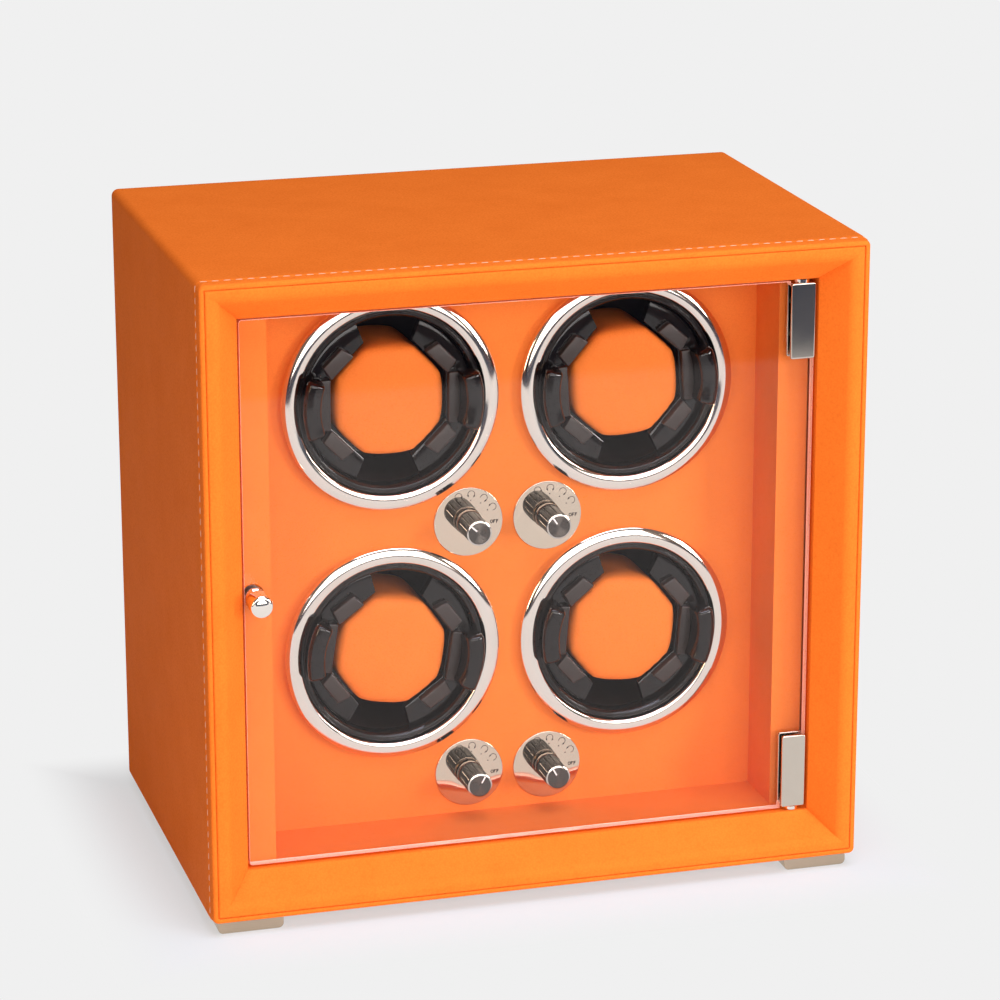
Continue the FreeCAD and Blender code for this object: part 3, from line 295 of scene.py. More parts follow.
def rounded(corners, closed=True, steps=6):
    """A line through corners (a, b, radius), where a radius becomes an arc touching both sides."""
    places = np.array([corner[:2] for corner in corners], float)
    count = len(places)
    line = []
    for index, corner in enumerate(corners):
        here = places[index]
        radius = corner[2] if len(corner) > 2 else 0.0
        if radius <= 0 or (not closed and index in (0, count - 1)):
            line.append(here[None])
            continue
        into = here - places[index - 1]
        away = places[(index + 1) % count] - here
        into = into / np.linalg.norm(into)
        away = away / np.linalg.norm(away)
        side = 1.0 if into[0] * away[1] - into[1] * away[0] > 0 else -1.0
        bend = math.acos(np.clip(into @ away, -1.0, 1.0))
        start = here - into * radius * math.tan(bend / 2)
        left = side * np.array([-into[1], into[0]])
        sweep = np.linspace(0.0, bend, steps + 1)[:, None]
        line.append(start + radius * (np.sin(sweep) * into + (1.0 - np.cos(sweep)) * left))
    return np.concatenate(line)


def full_turn(count):
    """So many even angles round a circle."""
    return np.linspace(0.0, 2.0 * math.pi, count, endpoint=False)


def turned(profile, segments=160):
    """A profile of (radius, height towards the front) carried in a circle round the y axis."""
    around = full_turn(segments)
    radius, front = profile[:, :1], profile[:, 1:]
    return np.stack(
        (radius * np.cos(around), 0.0 * around - front, radius * np.sin(around)), -1
    )


def drawn_in(outline, amount):
    """An anticlockwise outline moved inwards: each corner slides along its two sides' normals."""
    ahead = np.roll(outline, -1, 0) - outline
    ahead = ahead / np.linalg.norm(ahead, axis=1, keepdims=True)
    normal = np.stack((ahead[:, 1], -ahead[:, 0]), -1)
    before = np.roll(normal, 1, 0)
    share = 1.0 + (normal * before).sum(1, keepdims=True)
    return outline - amount * (normal + before) / share


def prism(outline, start, finish, bevel, steps=3):
    """An outline (x, z) drawn along y from start to finish, each end rounded by the bevel."""
    sweep = np.linspace(0.0, QUARTER, steps + 1)
    inset = bevel * (1.0 - np.sin(sweep))
    step = bevel * (1.0 - np.cos(sweep))
    lead = np.concatenate(([2.0 * bevel], inset))
    rise = np.concatenate(([0.0], step))
    rows = list(zip(lead, start + rise)) + list(zip(lead[::-1], (finish - rise)[::-1]))
    loops = []
    for amount, depth in rows:
        flat = drawn_in(outline, amount)
        loops.append(np.stack((flat[:, 0], np.full(len(flat), depth), flat[:, 1]), -1))
    return np.stack(loops)


def box_outline(low, high, radius):
    """An upright rectangle (x, z) between two corners, anticlockwise, with round corners."""
    return rounded([
        (low[0], low[1], radius), (high[0], low[1], radius),
        (high[0], high[1], radius), (low[0], high[1], radius),
    ], steps=4)


def pillow_box(half, radius, steps=4):
    """A box with round edges: the eight parts of a ball, each moved out to its own corner."""
    sweep = np.linspace(0.0, QUARTER, steps + 1)
    quarters = [sweep + k * QUARTER for k in range(4)]
    turn = np.concatenate(quarters)
    signs = np.repeat(np.array([[1, 1], [-1, 1], [-1, -1], [1, -1]], float), steps + 1, axis=0)
    tilt = np.concatenate((sweep - QUARTER, sweep))
    tilt_sign = np.repeat([-1.0, 1.0], steps + 1)
    out = np.cos(tilt)[:, None]
    x = signs[:, 0] * (half[0] - radius) + radius * out * np.cos(turn)
    y = signs[:, 1] * (half[1] - radius) + radius * out * np.sin(turn)
    z = (tilt_sign * (half[2] - radius) + radius * np.sin(tilt))[:, None] + 0.0 * x
    return np.stack((x, y, z), -1)


def face_out(mesh):
    """Merge a mesh's doubled points and turn its faces outwards."""
    work = bmesh.new()
    work.from_mesh(mesh)
    bmesh.ops.remove_doubles(work, verts=work.verts, dist=1e-7)
    bmesh.ops.recalc_face_normals(work, faces=work.faces)
    work.to_mesh(mesh)
    work.free()


class Shape:
    """Surfaces gathered in millimetres about a centre, then made into one piece."""

    def __init__(self, centre=(0.0, 0.0, 0.0), turn=0.0):
        self.centre = np.array(centre, float)
        self.turn = turn
        self.points = []
        self.faces = []
        self.marks = []
        self.count = 0

    def grid(self, points, wrap=(False, False), ends=False, mark=0, end_mark=None):
        """Quads over a grid of points, joined round where wrap says so and closed at the ends."""
        rows, columns = points.shape[:2]
        index = self.count + np.arange(rows * columns).reshape(rows, columns)
        first, last = index[0].tolist(), index[-1].tolist()
        if wrap[0]:
            index = np.vstack((index, index[:1]))
        if wrap[1]:
            index = np.hstack((index, index[:, :1]))
        quads = np.stack((index[:-1, :-1], index[1:, :-1], index[1:, 1:], index[:-1, 1:]), -1)
        self.faces += quads.reshape(-1, 4).tolist()
        self.marks += np.broadcast_to(mark, quads.shape[:2]).ravel().tolist()
        if ends:
            self.faces += [first, last[::-1]]
            self.marks += [self.marks[-1] if end_mark is None else end_mark] * 2
        self.points.append(points.reshape(-1, 3))
        self.count += rows * columns
        return self

    def tube(self, points, mark=0, ends=True, end_mark=None):
        """Loops of points, each joined round, and closed at the ends."""
        return self.grid(points, (False, True), ends, mark, end_mark)

    def ring(self, points, mark=0):
        """Loops of points, each joined round, and the last joined to the first."""
        return self.grid(points, (True, True), mark=mark)

    def make(self, name, finishes, body, slot=None, nodes=(), sharp=38.0):
        """Turn and set down the surfaces as one smooth piece, finished and riding on its body."""
        local = np.concatenate(self.points)
        c, s = math.cos(self.turn), math.sin(self.turn)
        placed = np.stack((
            local[:, 0] * c + local[:, 2] * s, local[:, 1], local[:, 2] * c - local[:, 0] * s,
        ), -1) + self.centre
        mesh = bpy.data.meshes.new(name)
        mesh.from_pydata((placed * MM).tolist(), [], self.faces)
        mesh.polygons.foreach_set("material_index", np.array(self.marks, np.int32))
        own = mesh.attributes.new("local", "FLOAT_VECTOR", "POINT")
        own.data.foreach_set("vector", local.astype(np.float32).ravel())
        face_out(mesh)
        mesh.shade_smooth()
        mesh.set_sharp_from_angle(angle=math.radians(sharp))
        for made in finishes:
            mesh.materials.append(made)
        piece = bpy.data.objects.new(name, mesh)
        bpy.context.scene.collection.objects.link(piece)
        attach(piece, body)
        if nodes:
            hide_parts(*nodes)
        return piece


def dress(node, made):
    """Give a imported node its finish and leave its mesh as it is."""
    materials = bpy.data.objects[node].data.materials
    materials.clear()
    materials.append(made)


class Wire:
    """A shader value that takes part in sums; each sum adds one Math node."""

    def __init__(self, tree, socket):
        self.tree = tree
        self.socket = socket

    def sum(self, operation, first, second=None):
        """One Math node over a wire and a wire, a number or nothing."""
        node = self.tree.nodes.new("ShaderNodeMath")
        node.operation = operation
        for socket, value in zip(node.inputs, (first, second)):
            if isinstance(value, Wire):
                self.tree.links.new(value.socket, socket)
            elif value is not None:
                socket.default_value = value
        return Wire(self.tree, node.outputs[0])

    def __add__(self, other):
        return self.sum("ADD", self, other)

    def __radd__(self, other):
        return self.sum("ADD", other, self)

    def __sub__(self, other):
        return self.sum("SUBTRACT", self, other)

    def __rsub__(self, other):
        return self.sum("SUBTRACT", other, self)

    def __mul__(self, other):
        return self.sum("MULTIPLY", self, other)

    def __rmul__(self, other):
        return self.sum("MULTIPLY", other, self)

    def sine(self):
        """Sine of the value."""
        return self.sum("SINE", self)

    def largest(self, other):
        """The larger of two values."""
        return self.sum("MAXIMUM", self, other)

    def plain(self):
        """The value without its sign."""
        return self.sum("ABSOLUTE", self)


class Finish:
    """One material in the making."""

    def __init__(self, name, world=None):
        self.material = world or bpy.data.materials.new(name)
        self.material.use_nodes = True
        self.tree = self.material.node_tree
        self.tree.nodes.clear()

    def node(self, kind, settings=None, sockets=None, output=0):
        """A node of a kind: its settings first, then the values or links of its sockets."""
        node = self.tree.nodes.new(kind)
        for name, value in (settings or {}).items():
            setattr(node, name, value)
        for name, value in (sockets or {}).items():
            if isinstance(value, Wire):
                self.tree.links.new(value.socket, node.inputs[name])
            else:
                node.inputs[name].default_value = value
        return Wire(self.tree, node.outputs[output]) if node.outputs else None

    def place(self):
        """Where the point is on the object, in metres."""
        return self.node("ShaderNodeTexCoord", output="Object")

    def own(self):
        """Where the point is on the piece about its own centre, in millimetres."""
        return self.node("ShaderNodeAttribute", {"attribute_name": "local"}, output="Vector")

    def stretched(self, where, x, y, z):
        """A place times a factor along each axis."""
        return self.node(
            "ShaderNodeVectorMath", {"operation": "MULTIPLY"}, {0: where, 1: (x, y, z)}
        )

    def noise(self, where, scale, detail=3.0, rough=0.5):
        """Cloudy noise, with so many features in a metre."""
        return self.node("ShaderNodeTexNoise", None, {
            "Vector": where, "Scale": scale, "Detail": detail, "Roughness": rough,
        })

    def cells(self, where, scale):
        """Distance to the middle of the nearest cell."""
        return self.node("ShaderNodeTexVoronoi", None, {"Vector": where, "Scale": scale})

    def blend(self, share, first, second):
        """A mix of two colours."""
        return self.node(
            "ShaderNodeMix", {"data_type": "RGBA"}, {0: share, 6: first, 7: second}, output=2
        )

    def bump(self, height, strength, distance):
        """A normal tilted by a height."""
        return self.node("ShaderNodeBump", None, {
            "Height": height, "Strength": strength, "Distance": distance,
        })

    def shader(self, **sockets):
        """A principled surface; underscores in the names stand for spaces."""
        return self.node("ShaderNodeBsdfPrincipled", None, {
            name.replace("_", " "): value for name, value in sockets.items()
        })

    def done(self, shader, target="ShaderNodeOutputMaterial"):
        """Link the surface to the output and hand out the material."""
        self.node(target, None, {"Surface": shader})
        return self.material


def finish(build):
    """Build a material once and hand out the same one after that."""
    def fetch(*details):
        """The material for these details, built on the first call."""
        key = (build.__name__, *details)
        if key not in MADE:
            MADE[key] = build(*details)
        return MADE[key]
    return fetch


@finish
def leather(name, body, hollow, cell, relief, rough, sheen):
    """Grained leatherette: pebbles of a given size, a broad drift of colour and a soft sheen."""
    made = Finish(name)
    where = made.place()
    wander = made.noise(where, 9.0, 3.0, 0.55)
    patch = made.noise(where, 42.0, 4.0, 0.6)
    pebble = made.cells(where, 1.0 / (cell * MM))
    pore = made.noise(where, 2.6 / (cell * MM), 2.0, 0.6)
    light = made.blend(
        wander * 1.5 - 0.3, (*body, 1.0), tuple(min(1.0, 1.05 * p) for p in body) + (1.0,)
    )
    worn = made.blend(patch * 0.5 - 0.16, light, (*hollow, 1.0))
    colour = made.blend(pebble * 0.42 - 0.06, worn, (*hollow, 1.0))
    height = pebble * -0.75 + pore * 0.35
    return made.done(made.shader(
        Base_Color=colour,
        Roughness=rough + 0.16 * patch + 0.1 * pebble,
        Specular_IOR_Level=sheen,
        Normal=made.bump(height, 0.55, relief * MM),
    ))


@finish
def thread():
    """Twisted sewing thread, with a strand pattern along each stitch."""
    made = Finish("thread")
    where = made.place()
    strand = made.noise(where, 2400.0, 2.0)
    fuzz = made.noise(where, 900.0, 3.0)
    colour = made.blend(
        fuzz, (*bpy.context.scene.winder_case.thread, 1.0), linear(226, 160, 124)
    )
    return made.done(made.shader(
        Base_Color=colour, Roughness=0.55 + 0.2 * fuzz,
        Normal=made.bump(strand, 0.4, 0.1 * MM),
    ))


@finish
def metal(name, light, dark, polish, grain):
    """Bright metal: faint smears in its gloss and a slow ripple, or a drawn grain along x."""
    made = Finish(name)
    where = made.place()
    smear = made.noise(where, 38.0, 4.0, 0.6)
    lines = made.noise(made.stretched(where, 30.0, 4200.0, 4200.0), 1.0, 3.0, 0.6)
    fine = made.noise(where, 900.0, 2.0)
    colour = made.blend(smear * 0.7 + lines * grain - 0.2, linear(*light), linear(*dark))
    return made.done(made.shader(
        Base_Color=colour, Metallic=1.0,
        Roughness=polish + 0.07 * smear + 0.25 * grain * lines,
        Normal=made.bump(lines * grain + fine * 0.05, 0.12, 0.03 * MM),
    ))


@finish
def plastic(name, light, dark, polish, relief, gloss=0.5):
    """Moulded plastic: a little cloudiness in its colour and gloss, and a fine skin."""
    made = Finish(name)
    where = made.place()
    cloud = made.noise(where, 70.0, 4.0, 0.6)
    skin = made.noise(where, 2600.0, 2.0)
    dust = made.noise(where, 420.0, 2.0, 0.7)
    colour = made.blend(cloud * 0.8 + dust * 0.2 - 0.1, linear(*light), linear(*dark))
    return made.done(made.shader(
        Base_Color=colour,
        Roughness=polish + 0.06 * cloud + 0.015 * dust,
        Specular_IOR_Level=gloss,
        Normal=made.bump(skin, 0.5, relief * MM),
    ))


@finish
def spun_metal(name, light, dark, polish, pitch):
    """Metal turned on a lathe: fine rings about the piece's own axis."""
    made = Finish(name)
    own = made.own()
    flat = made.stretched(own, 1.0, 0.0, 1.0)
    radius = made.node("ShaderNodeVectorMath", {"operation": "LENGTH"}, {0: flat}, "Value")
    uneven = made.noise(own, 1.3, 3.0)
    rings = (radius * (2.0 * math.pi / pitch) + uneven * 2.0).sine()
    colour = made.blend(rings * 0.25 + uneven * 0.5, linear(*light), linear(*dark))
    return made.done(made.shader(
        Base_Color=colour, Metallic=1.0,
        Roughness=polish + 0.08 * uneven,
        Normal=made.bump(rings, 0.8, 0.012 * MM),
    ))


@finish
def clear_pane():
    """Clear acrylic: what is behind shows through, and the faces reflect by their angle."""
    made = Finish("clear_pane")
    where = made.place()
    smear = made.noise(where, 22.0, 4.0, 0.6)
    haze = made.noise(where, 160.0, 3.0)
    bare = made.node("ShaderNodeBsdfTransparent", None, {"Color": (0.985, 0.975, 0.972, 1.0)})
    gloss = made.shader(
        Base_Color=made.blend(haze, linear(255, 250, 248), linear(250, 240, 236)),
        Metallic=1.0, Roughness=0.012 + 0.03 * smear,
    )
    slant = made.node("ShaderNodeLayerWeight", None, {"Blend": 0.5}, "Facing")
    steep = slant * slant
    share = 0.016 + 0.8 * steep * steep * slant
    return made.done(made.node("ShaderNodeMixShader", None, {0: share, 1: bare, 2: gloss}))


@finish
def pane_edge():
    """Polished acrylic edge whose pink colour is painted light: the glow the clear edge takes from
    the orange case it lies against.
    """
    made = Finish("pane_edge")
    where = made.place()
    drift = made.noise(where, 30.0, 3.0)
    fine = made.noise(where, 700.0, 2.0)
    # Both edge colours are painted light, a pink glow standing in for the orange case seen through
    # the edge
    light = (*bpy.context.scene.winder_door.edge, 1.0)
    return made.done(made.shader(
        Base_Color=made.blend(drift, light, linear(248, 176, 150)),
        Roughness=0.22 + 0.15 * fine,
        Normal=made.bump(fine, 0.15, 0.03 * MM),
    ))


@finish
def board(name, light, dark):
    """Pressed fibreboard or a printed board: short fibres and specks."""
    made = Finish(name)
    where = made.place()
    fibre = made.noise(made.stretched(where, 90.0, 500.0, 300.0), 1.0, 4.0, 0.6)
    speck = made.noise(where, 1100.0, 2.0)
    return made.done(made.shader(
        Base_Color=made.blend(fibre * 0.9 + speck * 0.3 - 0.1, linear(*light), linear(*dark)),
        Roughness=0.6 + 0.2 * speck,
        Normal=made.bump(fibre + speck * 0.4, 0.3, 0.05 * MM),
    ))


def outer_leather():
    """Leatherette of the case, its frame and its back."""
    case = bpy.context.scene.winder_case
    return leather("outer_leather", tuple(case.leather), tuple(case.shade), 1.0, 0.11, 0.48, 0.02)


def inner_leather(name, cell, relief, rough):
    """Leatherette of the display space, in a grain of its own for each use."""
    case = bpy.context.scene.winder_case
    return leather(
        name, tuple(case.lining), tuple(case.lining_shade), cell, relief, rough, 0.1
    )


def chrome():
    """Bright chrome of the rings, pins and pull."""
    return metal("chrome", (250, 240, 230), (236, 222, 208), 0.05, 0.0)


def hinge_chrome():
    """Chrome of the hinge clamps, darker than the rings' chrome as painted shade that dims what the
    clamps reflect.
    """
    return metal("hinge_chrome", (214, 202, 188), (198, 184, 168), 0.05, 0.0)


def nickel():
    """Brushed nickel of the feet."""
    return metal("brushed_nickel", (200, 180, 158), (168, 148, 128), 0.22, 0.55)


def steel():
    """Plain steel of fixings and works."""
    return metal("steel", (196, 196, 196), (150, 150, 150), 0.22, 0.3)


def gloss_black():
    """Polished moulding of drum mouths, plates and grips."""
    return plastic("gloss_black", (23, 17, 14), (13, 10, 9), 0.05, 0.0004)


def satin_black():
    """Duller moulding inside the drums."""
    return plastic("satin_black", (46, 36, 31), (31, 24, 21), 0.26, 0.001)


def lug_black():
    """Dull moulding of the holders' lugs."""
    return plastic("lug_black", (56, 47, 43), (45, 38, 35), 0.34, 0.002)


def knob_finishes():
    """A knob's finishes, in the order of its marks."""
    return [
        plastic("knob_black", (22, 19, 18), (13, 11, 11), 0.3, 0.001, 0.1),
        metal("knob_bright", (222, 216, 208), (192, 184, 176), 0.12, 0.1),
        spun_metal("knob_face", (112, 105, 100), (38, 36, 35), 0.14, 0.24),
        plastic("pointer_white", (246, 244, 240), (232, 229, 224), 0.35, 0.002),
        metal("knob_skirt", (112, 104, 97), (78, 72, 67), 0.18, 0.1),
    ]


class Builder(bpy.types.Operator):
    """Shared by the piece operators."""

    bl_options = {"REGISTER", "UNDO"}


def skin_inset(size, depth):
    """How far in the wrap lies at a depth: a squared roll, a bell-shaped groove and a round rim."""
    groove_wide = 0.45
    roll = size.draw * np.clip(1.0 - depth / size.roll, 0.0, 1.0) ** 2
    groove = size.groove * np.exp(-(((depth - size.stitch_back) / groove_wide) ** 2))
    left = np.clip(size.rim - depth, 0.0, size.rim)
    return roll + groove + size.rim - np.sqrt(size.rim ** 2 - left ** 2)


def frame_loops(inset, half, corner, steps=8):
    """Rounded rectangles, one for each inset: sides and corner radius shrink together."""
    sweep = np.linspace(0.0, QUARTER, steps + 1)
    radius = np.maximum(corner - inset, 0.4)[:, None]
    arcs = []
    for side, (across, up) in enumerate(((1, 1), (-1, 1), (-1, -1), (1, -1))):
        reach = sweep + side * QUARTER
        x = across * (half[0] - inset[:, None] - radius) + radius * np.cos(reach)
        z = up * (half[1] - inset[:, None] - radius) + radius * np.sin(reach)
        arcs.append(np.stack((x, z), -1))
    share = np.array([0.005, 0.25, 0.5, 0.75, 0.995])[None, :, None]
    loop = []
    for side, arc in enumerate(arcs):
        following = arcs[(side + 1) % 4][:, :1]
        loop += [arc, arc[:, -1:] * (1.0 - share) + following * share]
    return np.concatenate(loop, 1)


class WINDERBOX_OT_case_wrap(Builder):
    """Wrapped case: a closed profile of inset and depth carried round a rounded rectangle"""

    bl_idname = "winderbox.case_wrap"
    bl_label = "Case wrap"

    def execute(self, context):
        size = in_mm(context.scene.winder_case)
        low, high = span("case_shell")
        half = ((high[0] - low[0]) / 2, (high[2] - low[2]) / 2)
        depth = high[1] - low[1]
        lip = high[2] - span("frame_top_rail")[1][2]
        rim = size.rim * (1.0 - np.cos(np.linspace(0.0, QUARTER, 7)))
        skin = np.concatenate((rim, np.linspace(size.rim, size.roll, 60)[1:]))
        outer = np.stack((skin_inset(size, skin), skin), -1)
        back = rounded([
            (0.0, size.roll), (0.0, depth, size.back_rim), (lip, depth, 0.4),
            (lip, depth - size.back_thick), (size.wall, depth - size.back_thick),
            (size.wall, size.rail_depth), (lip, size.rail_depth), (lip, 0.0, 0.6),
            (outer[0, 0], 0.0),
        ], closed=False)[1:-1]
        spare = np.array([[0.0, depth / 2], [0.0, depth - 2.5 * size.back_rim]])
        profile = np.concatenate((outer, spare, back))
        loops = frame_loops(profile[:, 0], half, size.corner)
        y = np.broadcast_to(profile[:, 1:], loops.shape[:2])
        points = np.stack((loops[..., 0], y + low[1], loops[..., 1] + (low[2] + high[2]) / 2), -1)
        shape = Shape().ring(points)
        shape.make("case_wrap", [outer_leather()], "case", "outer_leatherette", ["case_shell"])
        return {"FINISHED"}


class WINDERBOX_OT_hem_stitches(Builder):
    """Hem stitches: spindles along a rounded rectangle, as thick as the root of one less a cube"""

    bl_idname = "winderbox.hem_stitches"
    bl_label = "Hem stitches"

    def execute(self, context):
        size = in_mm(context.scene.winder_case)
        low, high = span("case_shell")
        half = ((high[0] - low[0]) / 2, (high[2] - low[2]) / 2)
        middle_z, slant, squash, lift = (low[2] + high[2]) / 2, 0.07, 0.4, 0.12
        sink = skin_inset(size, np.array([size.stitch_back]))
        loop = frame_loops(sink, half, size.corner)[0]
        ring = np.vstack((loop, loop[:1]))
        walked = np.concatenate(([0.0], np.cumsum(np.linalg.norm(np.diff(ring, axis=0), axis=1))))
        count = int(round(walked[-1] / size.stitch_pitch))
        at = (np.arange(count) + 0.5) * walked[-1] / count

        def on_ring(distance):
            """Points at distances along the rectangle, from straight lines between its points."""
            distance = distance % walked[-1]
            return np.stack([np.interp(distance, walked, ring[:, axis]) for axis in (0, 1)], -1)

        spot = on_ring(at)
        along = on_ring(at + 0.5) - on_ring(at - 0.5)
        along = along / np.linalg.norm(along, axis=1, keepdims=True)
        outwards = np.stack((along[:, 1], -along[:, 0]), -1)
        u = np.linspace(-1.0, 1.0, 7)
        fat = np.sqrt(1.0 - np.abs(u) ** 3)
        turn = full_turn(8)
        run = u[:, None] * size.stitch_long / 2 + 0.0 * turn
        wide = fat[:, None] * np.cos(turn) * size.stitch_wide / 2 + slant * run
        tall = fat[:, None] * np.sin(turn) * size.stitch_wide * squash + lift
        shape = Shape()
        for here, ahead, out in zip(spot, along, outwards):
            x = here[0] + run * ahead[0] + tall * out[0]
            z = here[1] + run * ahead[1] + tall * out[1]
            y = low[1] + size.stitch_back + wide
            shape.tube(np.stack((x, y, z + middle_z), -1), ends=False)
        shape.make("hem_stitches", [thread()], "case")
        return {"FINISHED"}


class WINDERBOX_OT_front_frame(Builder):
    """Front frame: one profile of inset and depth run along each side, creased at the mitres"""

    bl_idname = "winderbox.front_frame"
    bl_label = "Front frame"

    def execute(self, context):
        size = in_mm(context.scene.winder_case)
        low, high = span("case_shell")
        half = np.array([(high[0] - low[0]) / 2, (high[2] - low[2]) / 2])
        centre = (low + high) / 2
        rail_low, rail_high = span("frame_top_rail")
        gap, bend_in, crease_long = 0.12, 4.0, 2.4
        seam, reach = high[2] - rail_high[2] + gap, high[2] - rail_low[2]
        corner = seam + size.rail_flat
        foot = (reach - corner) * math.tan(size.bevel)
        front = rounded([
            (seam, size.rail_depth), (seam, 0.0, size.rail_edge), (corner, 0.0, size.rail_bend),
            (reach, foot, 0.9), (reach, size.rail_depth),
        ], closed=False, steps=10)
        inset, depth = front[:, 0], front[:, 1]
        bevelled = ease((inset - corner) / bend_in)
        ends = np.array([0.0, 0.25, 0.6, 1.1, 1.8, 3.0, 6.0])
        crease = size.mitre * (1.0 - ease(ends / crease_long)) ** 1.5
        away = np.concatenate((ends, [0.0], ends[::-1]))
        dip = np.concatenate((crease, [0.0], crease[::-1]))
        side = np.concatenate((-np.ones(len(ends)), [0.0], np.ones(len(ends))))
        sides = {
            "frame_top_rail": (0, 1), "frame_bottom_rail": (0, -1),
            "frame_left_stile": (1, -1), "frame_right_stile": (1, 1),
        }
        for name, (axis, sign) in sides.items():
            run = half[axis] - inset[:, None]
            along = side * (run - away)
            across = sign * (half[1 - axis] - inset[:, None]) + 0.0 * along
            y = low[1] + depth[:, None] + dip * bevelled[:, None]
            flat = (along, across) if axis == 0 else (across, along)
            points = np.stack((flat[0] + centre[0], y, flat[1] + centre[2]), -1)
            shape = Shape().tube(points.transpose(1, 0, 2))
            shape.make(f"{name}_wrap", [outer_leather()], "case", "frame_leatherette", [name])
        return {"FINISHED"}


class WINDERBOX_OT_lining(Builder):
    """Display space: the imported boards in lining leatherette, and the catch magnet"""

    bl_idname = "winderbox.lining"
    bl_label = "Lining"

    def execute(self, context):
        for node in ("left_jamb", "right_jamb", "floor_board", "ceiling_board", "winder_panel"):
            dress(node, inner_leather("lining_leather", 0.7, 0.03, 0.44))
        dress("catch_magnet", steel())
        return {"FINISHED"}


class WINDERBOX_OT_bezels(Builder):
    """Bezel rings: a face bowed as an arc about the crest, with a tube behind it, turned"""

    bl_idname = "winderbox.bezels"
    bl_label = "Bezel rings"

    def execute(self, context):
        size = in_mm(context.scene.winder_drums)
        for number in NUMBERS:
            node = f"bezel_ring_{number}"
            low, high = span(node)
            centre = middle(node)
            outer = (high[0] - low[0]) / 2
            tube, deep, chamfer, lip = size.spigot - 1.1, -6.0, 0.35, 0.3
            across = np.linspace(outer - chamfer, size.bezel_inner + lip, 25)
            drop = size.bezel_bow - np.sqrt(size.bezel_bow ** 2 - (across - size.crest) ** 2)
            face = np.stack((across, size.bezel_front - drop), -1)
            back = rounded([
                (size.bezel_inner + lip, face[-1, 1]), (size.bezel_inner, face[-1, 1] - 0.4, lip),
                (size.bezel_inner, 2.0), (tube, -0.2), (tube, deep),
                (size.spigot, deep), (size.spigot, 0.0), (outer, 0.0),
                (outer, face[0, 1] - lip, 0.25), (outer - chamfer, face[0, 1]),
            ], closed=False, steps=5)[1:-1]
            profile = np.concatenate((face, back))
            shape = Shape(centre).ring(turned(profile, 192))
            shape.make(f"bezel_{number}", [chrome()], "case", "bezel_chrome", [node])
        return {"FINISHED"}


class WINDERBOX_OT_drums(Builder):
    """Drums: a turned cup whose mouth steps down in two gloss rings to a satin bore"""

    bl_idname = "winderbox.drums"
    bl_label = "Drums"

    def execute(self, context):
        size = in_mm(context.scene.winder_drums)
        for number in NUMBERS:
            node = f"drum_{number}"
            low, high = span(node)
            centre = middle(node)
            rim, front = (high[0] - low[0]) / 2, centre[1] - low[1]
            back, hub, base = centre[1] - high[1], 9.0, -size.floor - 3.0
            neck, throat = -4.3, -5.0
            mouth = rounded([
                (size.shell, neck), (rim, -3.0, 0.3), (rim, front - 0.6, 0.5),
                (size.shell + 0.25, front - 0.6, 0.1), (size.shell + 0.05, front, 0.4),
                (size.bore + 1.1, front, 0.7), (size.bore, front - 1.3, 0.9), (size.bore, throat),
            ], closed=False, steps=5)
            cup = rounded([
                (size.bore, throat), (size.bore, -size.floor, 4.0), (0.0, -size.floor),
            ], closed=False, steps=8)
            outside = rounded([
                (0.0, back), (hub, back, 0.5), (hub, base, 1.0),
                (size.shell, base, 4.0), (size.shell, neck),
            ], closed=False)
            profile = np.concatenate((mouth, cup[1:], outside[:-1]))
            gloss, satin = range(2)
            marks = np.full((len(profile), 1), gloss)
            marks[len(mouth) - 1:] = satin
            shape = Shape(centre, getattr(size, f"turn_{number}"))
            shape.ring(turned(profile, 160), marks)
            finishes = [gloss_black(), satin_black()]
            shape.make(f"drum_cup_{number}", finishes, f"winder_{number}", "drum_black", [node])
            dress(f"drum_shaft_{number}", steel())
        return {"FINISHED"}


def window_radius(half, around):
    """Radius of an octagon's side: its half width over the cosine of the turn from a flat."""
    eighth = math.pi / 4
    return half / np.cos((around + eighth / 2) % eighth - eighth / 2)


